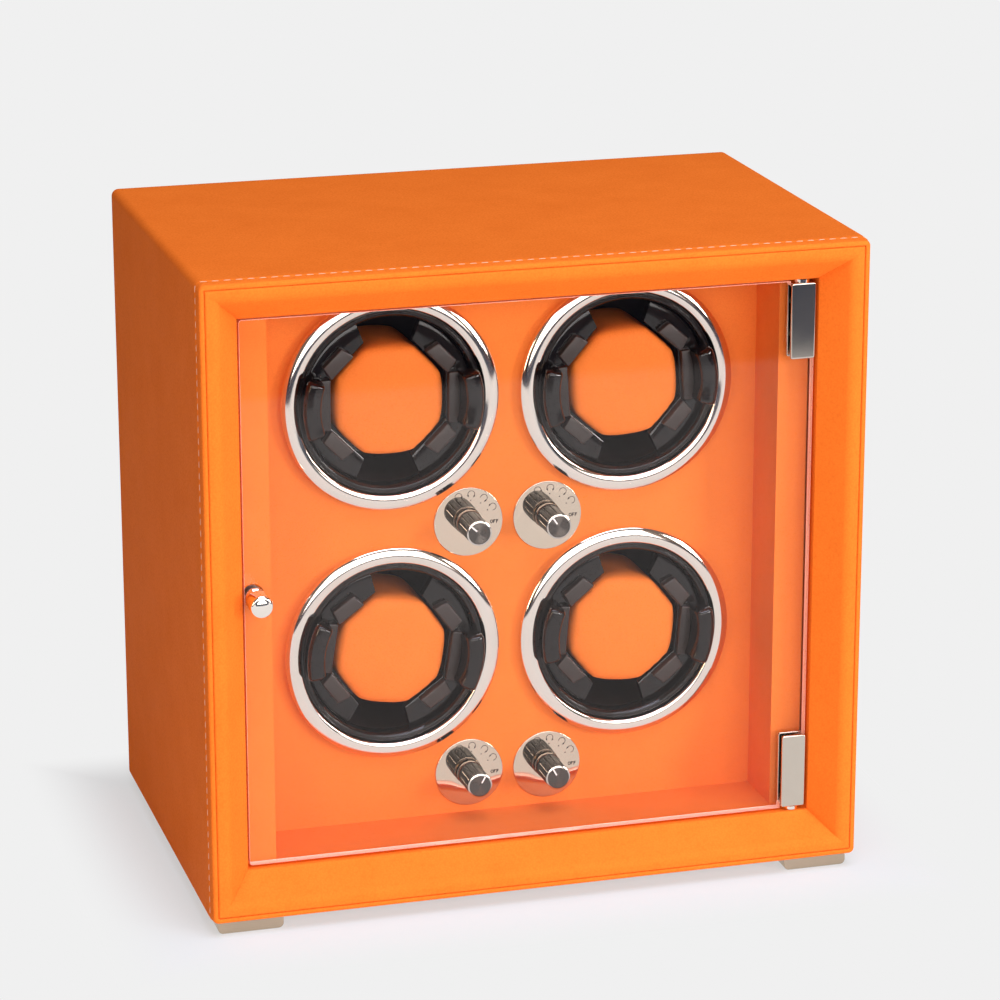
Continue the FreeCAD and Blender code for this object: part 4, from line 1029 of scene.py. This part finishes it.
class WINDERBOX_OT_holders(Builder):
    """Watch holders: ring segments round an octagon, tapered lugs and swept grips"""

    bl_idname = "winderbox.holders"
    bl_label = "Watch holders"
    gloss, satin, dull = range(3)

    def plates(self, shape, size):
        """Each plate's round-edged section, stretched over an arc from the octagon to a circle."""
        back, front = -6.0, -1.0
        section = rounded([
            (0.0, back, 0.3), (1.0, back, 0.3), (1.0, front, 0.5), (0.0, front, 0.5),
        ])
        section[:, 0] = np.clip(section[:, 0], 0.0, 1.0)
        corners = np.array([-3.0, -1.0, 1.0, 3.0]) * (math.pi / 8)
        around = np.unique(np.concatenate((
            np.linspace(-size.plate_span, size.plate_span, 49), corners,
        )))
        inner = window_radius(size.window, around)[:, None]
        radius = inner + (size.holder - inner) * section[:, 0]
        for side in (-1.0, 1.0):
            points = np.stack((
                side * radius * np.cos(around)[:, None],
                0.0 * radius - section[:, 1],
                radius * np.sin(around)[:, None],
            ), -1)
            shape.tube(points, self.gloss)

    def cheeks(self, shape, size):
        """Each cheek fills a circle's segment behind a plate, and a bridge joins their backs."""
        deep, front = -44.0, -6.0
        chord = size.window + 0.3
        reach = math.acos(chord / size.holder) * 0.995
        around = np.linspace(-reach, reach, 33)
        inner = chord / np.cos(around)
        outer = size.holder + 0.0 * inner
        for side in (-1.0, 1.0):
            rows = []
            for radius, level in ((inner, deep), (inner, front), (outer, front), (outer, deep)):
                rows.append(np.stack((
                    side * radius * np.cos(around), 0.0 * around - level, radius * np.sin(around),
                ), -1))
            shape.tube(np.stack(rows, 1), self.satin)
        bridge = pillow_box((33.3, 2.0, 13.0), 0.8)
        shape.tube(bridge + (0.0, 2.0 - deep, 0.0), self.satin)

    def lugs(self, shape, size):
        """Each lug is a round-edged box on a diagonal, narrowed outwards; shelves join them."""
        half_long, half_deep, half_tall, taper, rise = 7.6, 3.5, 2.6, 0.026, 0.6
        box = pillow_box((half_long, half_deep, half_tall), size.lug_round)
        along, out, lift = box[..., 0], box[..., 1], box[..., 2]
        along = along * (1.0 - taper * (out + half_deep))
        reach = size.window + 0.3 + half_deep + out
        for quarter, shift in enumerate((-1.0, 1.0, -1.0, 1.0)):
            turn = math.pi / 4 + quarter * QUARTER
            run = along + shift * size.lug_shift
            x = reach * math.cos(turn) - run * math.sin(turn)
            z = reach * math.sin(turn) + run * math.cos(turn)
            shape.tube(np.stack((x, -rise - lift, z), -1), self.dull)
        shelf = pillow_box((2.7, 2.4, 12.0), 0.7)
        for side in (-1.0, 1.0):
            shape.tube(shelf + (side * (size.window + 3.0), -0.4, 0.0), self.satin)

    def grips(self, shape, size):
        """Each grip is a leaning section swept over an arc, shrunk to its middle at both ends."""
        section = rounded([
            (32.5, -4.5, 0.4), (32.7, -1.0, 4.0), (34.2, 11.9, 2.0), (38.4, 12.6, 3.0),
            (42.8, 11.6, 2.4), (41.6, 6.8, 3.0), (37.5, 0.6, 3.0), (37.5, -4.5, 0.4),
        ], steps=8)
        share = np.sin(np.linspace(-QUARTER, QUARTER, 41))
        around = share * size.grip_span
        end = np.clip((np.abs(share) - 0.8) / 0.2, 0.0, 1.0)
        keep = np.sqrt(np.clip(1.0 - end ** 2, 0.0, 1.0))[:, None, None]
        heart = section.mean(0)
        swept = heart + (section - heart) * keep
        for side in (-1.0, 1.0):
            points = np.stack((
                side * swept[..., 0] * np.cos(around)[:, None],
                -swept[..., 1],
                swept[..., 0] * np.sin(around)[:, None],
            ), -1)
            shape.tube(points, self.gloss, ends=False)

    def execute(self, context):
        size = in_mm(context.scene.winder_drums)
        for number in NUMBERS:
            node = f"watch_holder_{number}"
            shape = Shape(middle(f"drum_{number}"), getattr(size, f"turn_{number}"))
            self.plates(shape, size)
            self.cheeks(shape, size)
            self.lugs(shape, size)
            self.grips(shape, size)
            finishes = [gloss_black(), satin_black(), lug_black()]
            shape.make(f"holder_{number}", finishes, f"winder_{number}", "holder_black", [node])
        return {"FINISHED"}


def places(mesh):
    """The points of a mesh, one row each, in metres."""
    found = np.empty(len(mesh.vertices) * 3)
    mesh.vertices.foreach_get("co", found)
    return found.reshape(-1, 3)


def filled(mesh, cell, swell, frames=20):
    """Fill a closed cover with air as cloth, and return its points and its quads."""
    cover = bpy.data.objects.new("cover", mesh)
    bpy.context.scene.collection.objects.link(cover)
    remesh = cover.modifiers.new("cells", "REMESH")
    remesh.mode = "VOXEL"
    remesh.voxel_size = cell
    graph = bpy.context.evaluated_depsgraph_get()
    even = bpy.data.meshes.new_from_object(cover.evaluated_get(graph))
    cover.modifiers.clear()
    cover.data = even
    rest = moved = places(even)
    cloth = cover.modifiers.new("filling", "CLOTH").settings
    cloth.use_pressure = True
    cloth.uniform_pressure_force = 4.0
    cloth.effector_weights.gravity = 0.0
    for number in range(1, frames + 1):
        bpy.context.scene.frame_set(number)
    graph = bpy.context.evaluated_depsgraph_get()
    step = places(cover.evaluated_get(graph).to_mesh()) - rest
    reach = np.linalg.norm(step, axis=1, keepdims=True)
    moved = rest + step * np.minimum(1.0, swell / np.maximum(reach, 1e-9))
    bpy.context.scene.frame_set(1)
    cover.modifiers.clear()
    even.vertices.foreach_set("co", moved.ravel())
    smooth = cover.modifiers.new("smooth", "SUBSURF")
    smooth.levels = smooth.render_levels = 1
    graph = bpy.context.evaluated_depsgraph_get()
    soft = bpy.data.meshes.new_from_object(cover.evaluated_get(graph))
    bpy.data.objects.remove(cover)
    quads = np.empty(len(soft.loops), np.int32)
    soft.loops.foreach_get("vertex_index", quads)
    return places(soft), quads.reshape(-1, 4).tolist()


class WINDERBOX_OT_cushions(Builder):
    """Cushions: a soft octagon drawn out to a pad and filled as cloth"""

    bl_idname = "winderbox.cushions"
    bl_label = "Cushions"

    def cover(self, size, front, back):
        """The slack cover: an octagon times a width that falls off at both ends.

        The octagon's radius is its half width over the root of a sum of high powers, those of
        the cosines of the turn from each of its four axes, so that its corners are round.
        """
        around = full_turn(64)
        power = 18.0
        folds = np.abs(np.cos(around[:, None] - np.arange(4) * math.pi / 4)) ** power
        radius = size.cushion / folds.sum(1) ** (1.0 / power)
        radius = radius / radius.min() * size.cushion * 0.999
        depth = np.linspace(-1.0, 1.0, 25)
        width = 0.9 + 0.1 * (1.0 - np.abs(depth) ** 16) ** 0.35
        level = back + (front - back) * (depth + 1.0) / 2.0
        return np.stack((
            width[:, None] * radius * np.cos(around),
            0.0 * around - level[:, None],
            width[:, None] * radius * np.sin(around),
        ), -1)

    def execute(self, context):
        size = in_mm(context.scene.winder_drums)
        low, high = span("cushion_1")
        centre = middle("cushion_1")
        tuck = 0.9
        front = centre[1] - low[1] + size.cushion_proud
        back = centre[1] - high[1] + tuck
        shape = Shape().tube(self.cover(size, front, back))
        mesh = bpy.data.meshes.new("cover")
        mesh.from_pydata((np.concatenate(shape.points) * MM).tolist(), [], shape.faces)
        face_out(mesh)
        points, faces = filled(mesh, size.cushion_cell * MM, size.cushion_swell * MM)
        for number in NUMBERS:
            node = f"cushion_{number}"
            shape = Shape(middle(f"drum_{number}"), getattr(size, f"turn_{number}"))
            shape.points.append(points / MM)
            shape.faces = faces
            shape.marks = [0] * len(faces)
            piece = shape.make(
                f"cushion_pad_{number}", [inner_leather("cushion_leather", 0.9, 0.08, 0.42)],
                f"winder_{number}", "cushion_leatherette", [node], sharp=180.0,
            )
        return {"FINISHED"}


def bar(start, finish_at, width):
    """Outline of a straight stroke between two points."""
    start, finish_at = np.array(start, float), np.array(finish_at, float)
    ahead = (finish_at - start) / np.linalg.norm(finish_at - start)
    side = np.array([-ahead[1], ahead[0]]) * width / 2
    return np.array([start - side, finish_at - side, finish_at + side, start + side])


def arch(centre, radius, first, last, width, steps=20):
    """Outline of a stroke bent round a centre, from one angle to another."""
    sweep = np.linspace(first, last, steps)
    ring = np.stack((np.cos(sweep), np.sin(sweep)), -1)
    return np.array(centre) + np.concatenate((
        ring * (radius + width / 2), ring[::-1] * (radius - width / 2),
    ))


class WINDERBOX_OT_dials(Builder):
    """Dial plates: a turned mirror disc with printed strokes, dots and one plain word"""

    bl_idname = "winderbox.dials"
    bl_label = "Dial plates"

    def symbols(self, size):
        """Outlines of the print: turning marks, their dots, and OFF."""
        found, arrow, barb, dot_radius = [], 1.0, 0.2, 0.28
        half_turn = math.radians(115)
        turns = ((-21, (1, 1)), (6, (1, 1)), (34, (0, 1)), (61, (1, 0)))
        for degrees, heads in turns:
            tilt = math.radians(degrees)
            out = np.array([math.sin(tilt), math.cos(tilt)])
            spot = out * size.mark_ring
            facing = QUARTER - tilt
            first, last = facing - half_turn, facing + half_turn
            found.append(arch(spot, size.mark_arc, first, last, size.stroke))
            for end, way, present in ((last, 1, heads[0]), (first, -1, heads[1])):
                if present:
                    tip = spot + size.mark_arc * np.array([math.cos(end), math.sin(end)])
                    ahead = way * np.array([-math.sin(end), math.cos(end)])
                    side = np.array([-ahead[1], ahead[0]]) * size.stroke * 1.7
                    found.append(np.array([
                        tip - side - ahead * barb, tip + ahead * arrow, tip + side - ahead * barb,
                    ]))
        for degrees in (-48, -21, 6, 34, 61):
            tilt = math.radians(degrees)
            dot = size.dot_ring * np.array([math.sin(tilt), math.cos(tilt)])
            sweep = full_turn(12)
            found.append(dot + dot_radius * np.stack((np.cos(sweep), np.sin(sweep)), -1))
        return found + self.word(size)

    def word(self, size):
        """OFF as bars and two half rings, to the right of the middle."""
        tall, wide, line = size.letter, size.letter * 0.6, size.stroke * 1.6
        left, base = size.word_ring - 1.75 * wide - 0.3, -0.7 - tall / 2
        ring = np.array([left + wide / 2, base + tall / 2])
        found = []
        for first in (0.0, math.pi):
            half = arch((0.0, 0.0), tall / 2 - line / 2, first, first + math.pi, line)
            found.append(ring + half * (0.8, 1.0))
        for letter in (1, 2):
            foot = left + letter * (wide + 0.35) + 0.1
            found.append(bar((foot, base), (foot, base + tall), line))
            for level, reach in ((tall - line / 2, 0.85), (tall * 0.52, 0.7)):
                found.append(bar((foot, base + level), (foot + wide * reach, base + level), line))
        return found

    def execute(self, context):
        size = in_mm(context.scene.winder_dials)
        for number in NUMBERS:
            node = f"dial_plate_{number}"
            low, high = span(node)
            centre = middle(node)
            radius, thick = (high[0] - low[0]) / 2, centre[1] - low[1]
            profile = rounded([
                (size.bore, 0.0), (radius, 0.0), (radius, thick, 0.3), (size.bore, thick, 0.1),
            ], steps=5)
            spot = int(np.argmin(np.abs(profile - (radius - 0.3, thick)).sum(1)))
            profile = np.insert(profile, spot + 1, [[radius - 0.7, thick]], axis=0)
            shape = Shape(centre).ring(turned(profile, 96))
            for outline in self.symbols(size):
                shape.tube(prism(outline, -thick - 0.02, -thick + 0.1, 0.0, steps=0), mark=1)
            mirror = metal("dial_mirror", (232, 214, 194), (222, 202, 180), 0.012, 0.0)
            ink = plastic("dial_ink", (52, 44, 40), (34, 29, 26), 0.4, 0.002, 0.2)
            shape.make(f"dial_{number}", [mirror, ink], "case", "dial_mirror", [node], sharp=30.0)
        return {"FINISHED"}


class WINDERBOX_OT_knobs(Builder):
    """Selector knobs: a turned profile, less a bell-shaped groove at each flute"""

    bl_idname = "winderbox.knobs"
    bl_label = "Selector knobs"
    black, bright, face, pointer, skirt = range(5)

    def execute(self, context):
        size = in_mm(context.scene.winder_dials)
        segments, rows, flute_wide, bright_half = 240, 10, 0.26, 0.1
        pitch = 2.0 * math.pi / size.flutes
        off = (full_turn(segments) + pitch / 2) % pitch - pitch / 2
        for number in NUMBERS:
            node = f"selector_knob_{number}"
            low = span(node)[0]
            centre = middle(f"dial_plate_{number}")
            front, stem, skirt, foot, collar = centre[1] - low[1], 3.0, 6.2, 1.6, 3.9
            shoulder, flat, lip = front - 0.38, front - 0.05, size.knob - 0.7
            side = rounded([
                (stem, -9.0), (stem, foot), (skirt, foot, 0.25), (skirt, collar - 0.4, 0.3),
                (size.knob, collar, 0.2), (size.knob, shoulder), (lip, flat), (0.0, flat),
            ], closed=False, steps=4)
            cut = int(np.argmax(side[:, 1] >= shoulder))
            level = np.linspace(collar + 0.5, front - 1.3, rows)
            grip = np.stack((np.full(rows, size.knob), level), -1)
            inwards = np.linspace(lip - 0.05, 0.0, rows + 2)[1:-1]
            face = np.stack((inwards, np.full(rows, flat)), -1)
            profile = np.concatenate((side[:cut], grip, side[cut:-1], face, side[-1:]))
            points = turned(profile, segments)
            groove = np.exp(-((off * size.knob / flute_wide) ** 2))
            begin, end = collar + 0.3, front - 1.2
            reach = ease((profile[:, 1] - begin) / 0.8) * ease((end - profile[:, 1]) / 0.6)
            reach = reach * (np.abs(profile[:, 0] - size.knob) < 0.01)
            shrink = 1.0 - (size.flute_deep * groove * reach[:, None]) / size.knob
            points[..., 0] *= shrink
            points[..., 2] *= shrink
            level = (profile[:-1, 1] + profile[1:, 1]) / 2
            marks = np.full((len(level), segments), self.black)
            marks[(level > foot - 0.1) & (level < collar - 0.1)] = self.skirt
            marks[level > shoulder] = self.bright
            marks[level > front - 0.1] = self.face
            marks[(reach[:-1, None] > 0.5) & (np.abs(off) * size.knob < bright_half)] = self.bright
            shape = Shape(centre, getattr(size, f"turn_{number}"))
            shape.tube(points, marks, ends=False)
            line = box_outline((-0.34, 1.6), (0.34, size.knob - 0.8), 0.12)
            shape.tube(prism(line, -front, -front + 0.5, 0.04, steps=1), self.pointer)
            shape.make(
                f"knob_{number}", knob_finishes(), f"selector_{number}", "knob_aluminium", [node],
                sharp=32.0,
            )
        return {"FINISHED"}


class WINDERBOX_OT_door_pane(Builder):
    """Door pane: a notched outline drawn out to the pane's thickness, with polished edges"""

    bl_idname = "winderbox.door_pane"
    bl_label = "Door pane"

    def execute(self, context):
        size = in_mm(context.scene.winder_door)
        low, high = span("door_pane")
        bottom, top = span("hinge_clamp_bottom"), span("hinge_clamp_top")
        notch = bottom[0][0] - 0.1
        lower, upper = bottom[0][2] + size.clamp_plate, top[1][2] - size.clamp_plate
        outline = rounded([
            (notch, low[2], 0.4), (notch, lower, 0.4), (high[0], lower, 0.4),
            (high[0], upper, 0.4), (notch, upper, 0.4), (notch, high[2], 0.4),
            (low[0], high[2], size.corner), (low[0], low[2], size.corner),
        ], steps=4)
        points = prism(outline, low[1], high[1], size.bevel)
        clear, edge = range(2)
        marks = np.full((len(points) - 1, 1), edge)
        marks[[0, -1]] = clear
        shape = Shape().tube(points, marks, end_mark=clear)
        finishes = [clear_pane(), pane_edge()]
        shape.make("pane", finishes, "door", "clear_pane", ["door_pane"], sharp=30.0)
        return {"FINISHED"}


class WINDERBOX_OT_hinges(Builder):
    """Hinge clamps: two round-edged plates and a web round the pane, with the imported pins"""

    bl_idname = "winderbox.hinges"
    bl_label = "Hinges"

    def execute(self, context):
        size = in_mm(context.scene.winder_door)
        for name in ("bottom", "top"):
            node = f"hinge_clamp_{name}"
            low, high = span(node)
            plate = box_outline((low[0], low[2]), (high[0], high[2]), 1.0)
            web_low = low[2] if name == "bottom" else high[2] - size.clamp_plate
            web_high, inset, hair = web_low + size.clamp_plate, 0.15, 0.05
            web = box_outline(
                (low[0] + inset, web_low + hair), (high[0] - inset, web_high - hair), 0.4
            )
            half_plate = size.clamp_plate / 2
            shape = Shape()
            shape.tube(prism(plate, low[1], low[1] + size.clamp_plate, size.clamp_edge))
            shape.tube(prism(plate, high[1] - size.clamp_plate, high[1], size.clamp_edge))
            shape.tube(prism(web, low[1] + half_plate, high[1] - half_plate, inset))
            # The clamps' chrome is a darker copy of the rings' chrome: painted shade on their
            # reflections
            finishes = [hinge_chrome()]
            shape.make(f"clamp_{name}", finishes, "door", "hinge_chrome", [node], sharp=50.0)
        dress("hinge_pins", chrome())
        dress("hinge_bushes", metal("brass", (214, 176, 98), (180, 140, 70), 0.2, 0.2))
        dress("clamp_set_screws", steel())
        return {"FINISHED"}


class WINDERBOX_OT_door_knob(Builder):
    """Door knob: a turned profile with a base ring, a groove and a low domed end"""

    bl_idname = "winderbox.door_knob"
    bl_label = "Door knob"

    def execute(self, context):
        low, high = span("door_knob")
        centre = (low + high) / 2
        centre[1] = high[1]
        radius, long = (high[0] - low[0]) / 2, high[1] - low[1]
        base, groove, crown, brow = radius - 0.5, radius - 1.5, radius - 1.9, long - 0.45
        side = rounded([
            (1.5, 0.0), (base, 0.0, 0.2), (base, 1.4, 0.3), (groove, 2.4, 0.4),
            (groove, 3.4, 0.4), (radius, 4.9, 0.7), (radius, long - 0.6, 1.3), (crown, brow),
        ], closed=False, steps=7)
        share = 1.0 - np.linspace(0.0, 1.0, 9)[1:]
        dome = np.stack((crown * share, brow + 0.4 * (1.0 - share ** 2)), -1)
        shape = Shape(centre).tube(turned(np.concatenate((side, dome)), 96))
        shape.make("door_pull", [chrome()], "door", "pull_chrome", ["door_knob"], sharp=50.0)
        dress("door_knob_screw", steel())
        return {"FINISHED"}


class WINDERBOX_OT_feet(Builder):
    """Feet: an outline with two round lower corners drawn from front to back"""

    bl_idname = "winderbox.feet"
    bl_label = "Feet"

    def execute(self, context):
        for rank in ("front", "back"):
            for side in ("left", "right"):
                node = f"foot_{rank}_{side}"
                low, high = span(node)
                outline = rounded([
                    (low[0], low[2], 2.4), (high[0], low[2], 2.4), (high[0], high[2]),
                    (low[0], high[2]),
                ], steps=8)
                shape = Shape().tube(prism(outline, low[1], high[1], 0.35))
                shape.make(f"foot_{rank}_{side}_shoe", [nickel()], "case", "foot_steel", [node])
        return {"FINISHED"}


class WINDERBOX_OT_back(Builder):
    """Back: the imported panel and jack, and screws with domed heads, each less a cross recess"""

    bl_idname = "winderbox.back"
    bl_label = "Back"

    def execute(self, context):
        dress("back_panel", outer_leather())
        dress("power_jack", gloss_black())
        node = "back_panel_screws"
        low, high = span(node)
        head, core, long, brim = 3.0, 1.6, 11.0, 0.35
        slot_half, slot_reach, recess = 0.55, 1.9, 0.8
        columns = (low[0] + head, (low[0] + high[0]) / 2, high[0] - head)
        levels = (low[2] + head, (low[2] + high[2]) / 2, high[2] - head)
        u = np.linspace(-1.0, 1.0, 25)
        a, b = np.meshgrid(u, u)
        x = a * np.sqrt(1.0 - b ** 2 / 2.0)
        z = b * np.sqrt(1.0 - a ** 2 / 2.0)
        near = np.minimum(np.abs(x), np.abs(z)) * head
        far = np.maximum(np.abs(x), np.abs(z)) * head
        cross = ease((slot_half - near) / 0.25) * ease((slot_reach - far) / 0.35)
        y = high[1] - brim * (x ** 2 + z ** 2) - recess * cross
        shank = turned(np.array([
            (head, brim), (head, core), (core, core), (core, long), (0.0, long),
        ]), 24)
        shape = Shape()
        for column in columns:
            for level in levels:
                if column == columns[1] and level == levels[1]:
                    continue
                shape.grid(np.stack((column + head * x, y, level + head * z), -1))
                shape.tube(shank + (column, high[1], level), ends=False)
        shape.make("back_screws", [steel()], "case", "fixing_steel", [node], sharp=40.0)
        return {"FINISHED"}


class WINDERBOX_OT_works(Builder):
    """Works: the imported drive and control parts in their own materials"""

    bl_idname = "winderbox.works"
    bl_label = "Works"

    def execute(self, context):
        brass = metal("standoff_brass", (210, 172, 96), (176, 138, 70), 0.25, 0.2)
        dress("motor_board", board("fibreboard", (150, 112, 74), (112, 80, 50)))
        dress("motor_board_standoffs", brass)
        dress("control_board", board("circuit_board", (30, 92, 56), (16, 62, 36)))
        for node in ("gearmotors", "selector_switches", "switch_nuts"):
            dress(node, steel())
        return {"FINISHED"}


def lamp(name, power, size, place, target, colour=(1.0, 1.0, 1.0)):
    """An area lamp that faces a point."""
    light = bpy.data.lights.new(name, "AREA")
    light.shape = "RECTANGLE"
    light.size, light.size_y = size
    light.energy = power
    light.color = colour
    made = bpy.data.objects.new(name, light)
    made.location = place
    aim = Vector(target) - Vector(place)
    made.rotation_euler = aim.to_track_quat("-Z", "Y").to_euler()
    made.visible_camera = False
    bpy.context.scene.collection.objects.link(made)


class WINDERBOX_OT_stage(Builder):
    """Stage: floor, lamps, surrounding light and camera"""

    bl_idname = "winderbox.stage"
    bl_label = "Stage"

    def floor(self, stage):
        """A wide floor, evenly lit to the camera but for the shade beside the box."""
        colour = (*stage.backdrop, 1.0)
        half, sink, soft, edge = 14.0, 0.0002, 0.015, -stage.front_edge * MM
        made = Finish("floor")
        camera, glossy, through = (
            made.node("ShaderNodeLightPath", output=ray)
            for ray in ("Is Camera Ray", "Is Glossy Ray", "Is Transmission Ray")
        )
        where = made.place()
        side, front = (
            made.node("ShaderNodeSeparateXYZ", None, {"Vector": where}, axis) for axis in "XY"
        )
        high = np.array(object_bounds()[1])
        away = (side.plain() - float(high[0])).largest(front.plain() - float(high[1]))
        spread = made.node("ShaderNodeMapRange", {"interpolation_type": "SMOOTHSTEP"}, {
            "Value": away, "From Min": 0.0, "From Max": stage.shade_reach * MM,
            "To Min": stage.glow, "To Max": 1.0,
        })
        near = made.node("ShaderNodeMapRange", {"interpolation_type": "SMOOTHSTEP"}, {
            "Value": front, "From Min": edge - soft, "From Max": edge + soft,
        })
        before = made.node("ShaderNodeMath", {"operation": "LESS_THAN"}, {0: front, 1: 0.0})
        seen = (camera * spread).largest(glossy.largest(through) * near * before * stage.mirror)
        pale = made.blend(near, (0.03, 0.035, 0.05, 1.0), (0.75, 0.79, 0.81, 1.0))
        matt = made.node("ShaderNodeBsdfDiffuse", None, {"Color": pale})
        even = made.node("ShaderNodeEmission", None, {"Color": colour, "Strength": 1.0})
        material = made.done(made.node("ShaderNodeMixShader", None, {0: seen, 1: matt, 2: even}))
        mesh = bpy.data.meshes.new("floor")
        mesh.from_pydata(
            [(-half, -half, 0.0), (half, -half, 0.0), (half, half, 0.0), (-half, half, 0.0)],
            [], [(0, 1, 2, 3)],
        )
        mesh.materials.append(material)
        floor = bpy.data.objects.new("floor", mesh)
        floor.location.z = -sink
        bpy.context.scene.collection.objects.link(floor)
        floor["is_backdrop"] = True

    def camera(self, scene, stage):
        """The camera looks at its target from a distance, along its yaw and pitch."""
        data = bpy.data.cameras.new("camera")
        data.sensor_width = 36.0
        data.lens = stage.lens
        data.clip_end = 60.0
        made = bpy.data.objects.new("camera", data)
        scene.collection.objects.link(made)
        ahead = Vector((
            math.sin(stage.yaw) * math.cos(stage.pitch),
            math.cos(stage.yaw) * math.cos(stage.pitch),
            -math.sin(stage.pitch),
        ))
        turn = ahead.to_track_quat("-Z", "Y").to_matrix().to_4x4()
        made.matrix_world = (
            Matrix.Translation(Vector(stage.target) - ahead * stage.distance * MM)
            @ turn @ Matrix.Rotation(-stage.roll, 4, "Z")
        )
        scene.camera = made

    def execute(self, context):
        scene = context.scene
        stage = in_mm(scene.winder_stage)
        self.floor(stage)
        aim, warm, cool = (0.0, -0.05, 0.15), (1.0, 0.74, 0.5), (0.94, 1.02, 1.25)
        lamp("key", stage.key, (1.5, 1.0), (0.1, -1.7, 0.55), aim)
        lamp("right", stage.right, (0.45, 0.6), (1.35, -1.4, 0.5), aim)
        lamp("left", stage.left, (0.45, 0.6), (-1.35, -1.4, 0.45), aim, warm)
        lamp("over", stage.over, (1.5, 1.3), (0.2, -0.75, 1.95), aim, cool)
        world = bpy.data.worlds.new("surround")
        scene.world = world
        made = Finish("surround", world)
        back = made.node(
            "ShaderNodeBackground", None, {"Color": (1.0, 0.86, 0.7, 1.0), "Strength": stage.fill}
        )
        made.done(back, "ShaderNodeOutputWorld")
        self.camera(scene, stage)
        scene.view_settings.view_transform = "Standard"
        return {"FINISHED"}


OPERATORS = tuple(Builder.__subclasses__())


class WINDERBOX_PT_panel(bpy.types.Panel):
    """Settings and build steps of the winder box"""

    bl_idname = "WINDERBOX_PT_panel"
    bl_label = "Winder box"
    bl_space_type = "VIEW_3D"
    bl_region_type = "UI"
    bl_category = "Winder box"

    def draw(self, context):
        for operator in OPERATORS:
            self.layout.operator(operator.bl_idname)
        for name, group in GROUPS.items():
            column = self.layout.column()
            for setting in group.__annotations__:
                column.prop(getattr(context.scene, name), setting)


CLASSES = (*GROUPS.values(), *OPERATORS, WINDERBOX_PT_panel)


def register():
    """Register the classes and hang the settings on the scene."""
    for item in CLASSES:
        bpy.utils.register_class(item)
    for name, group in GROUPS.items():
        setattr(bpy.types.Scene, name, PointerProperty(type=group))


def unregister():
    """Take the settings and the classes away again."""
    for name in GROUPS:
        delattr(bpy.types.Scene, name)
    for item in reversed(CLASSES):
        bpy.utils.unregister_class(item)


def main():
    """Register the add-on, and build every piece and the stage."""
    register()
    for operator in OPERATORS:
        group, name = operator.bl_idname.split(".")
        getattr(getattr(bpy.ops, group), name)()


if __name__ == "__main__":
    main()
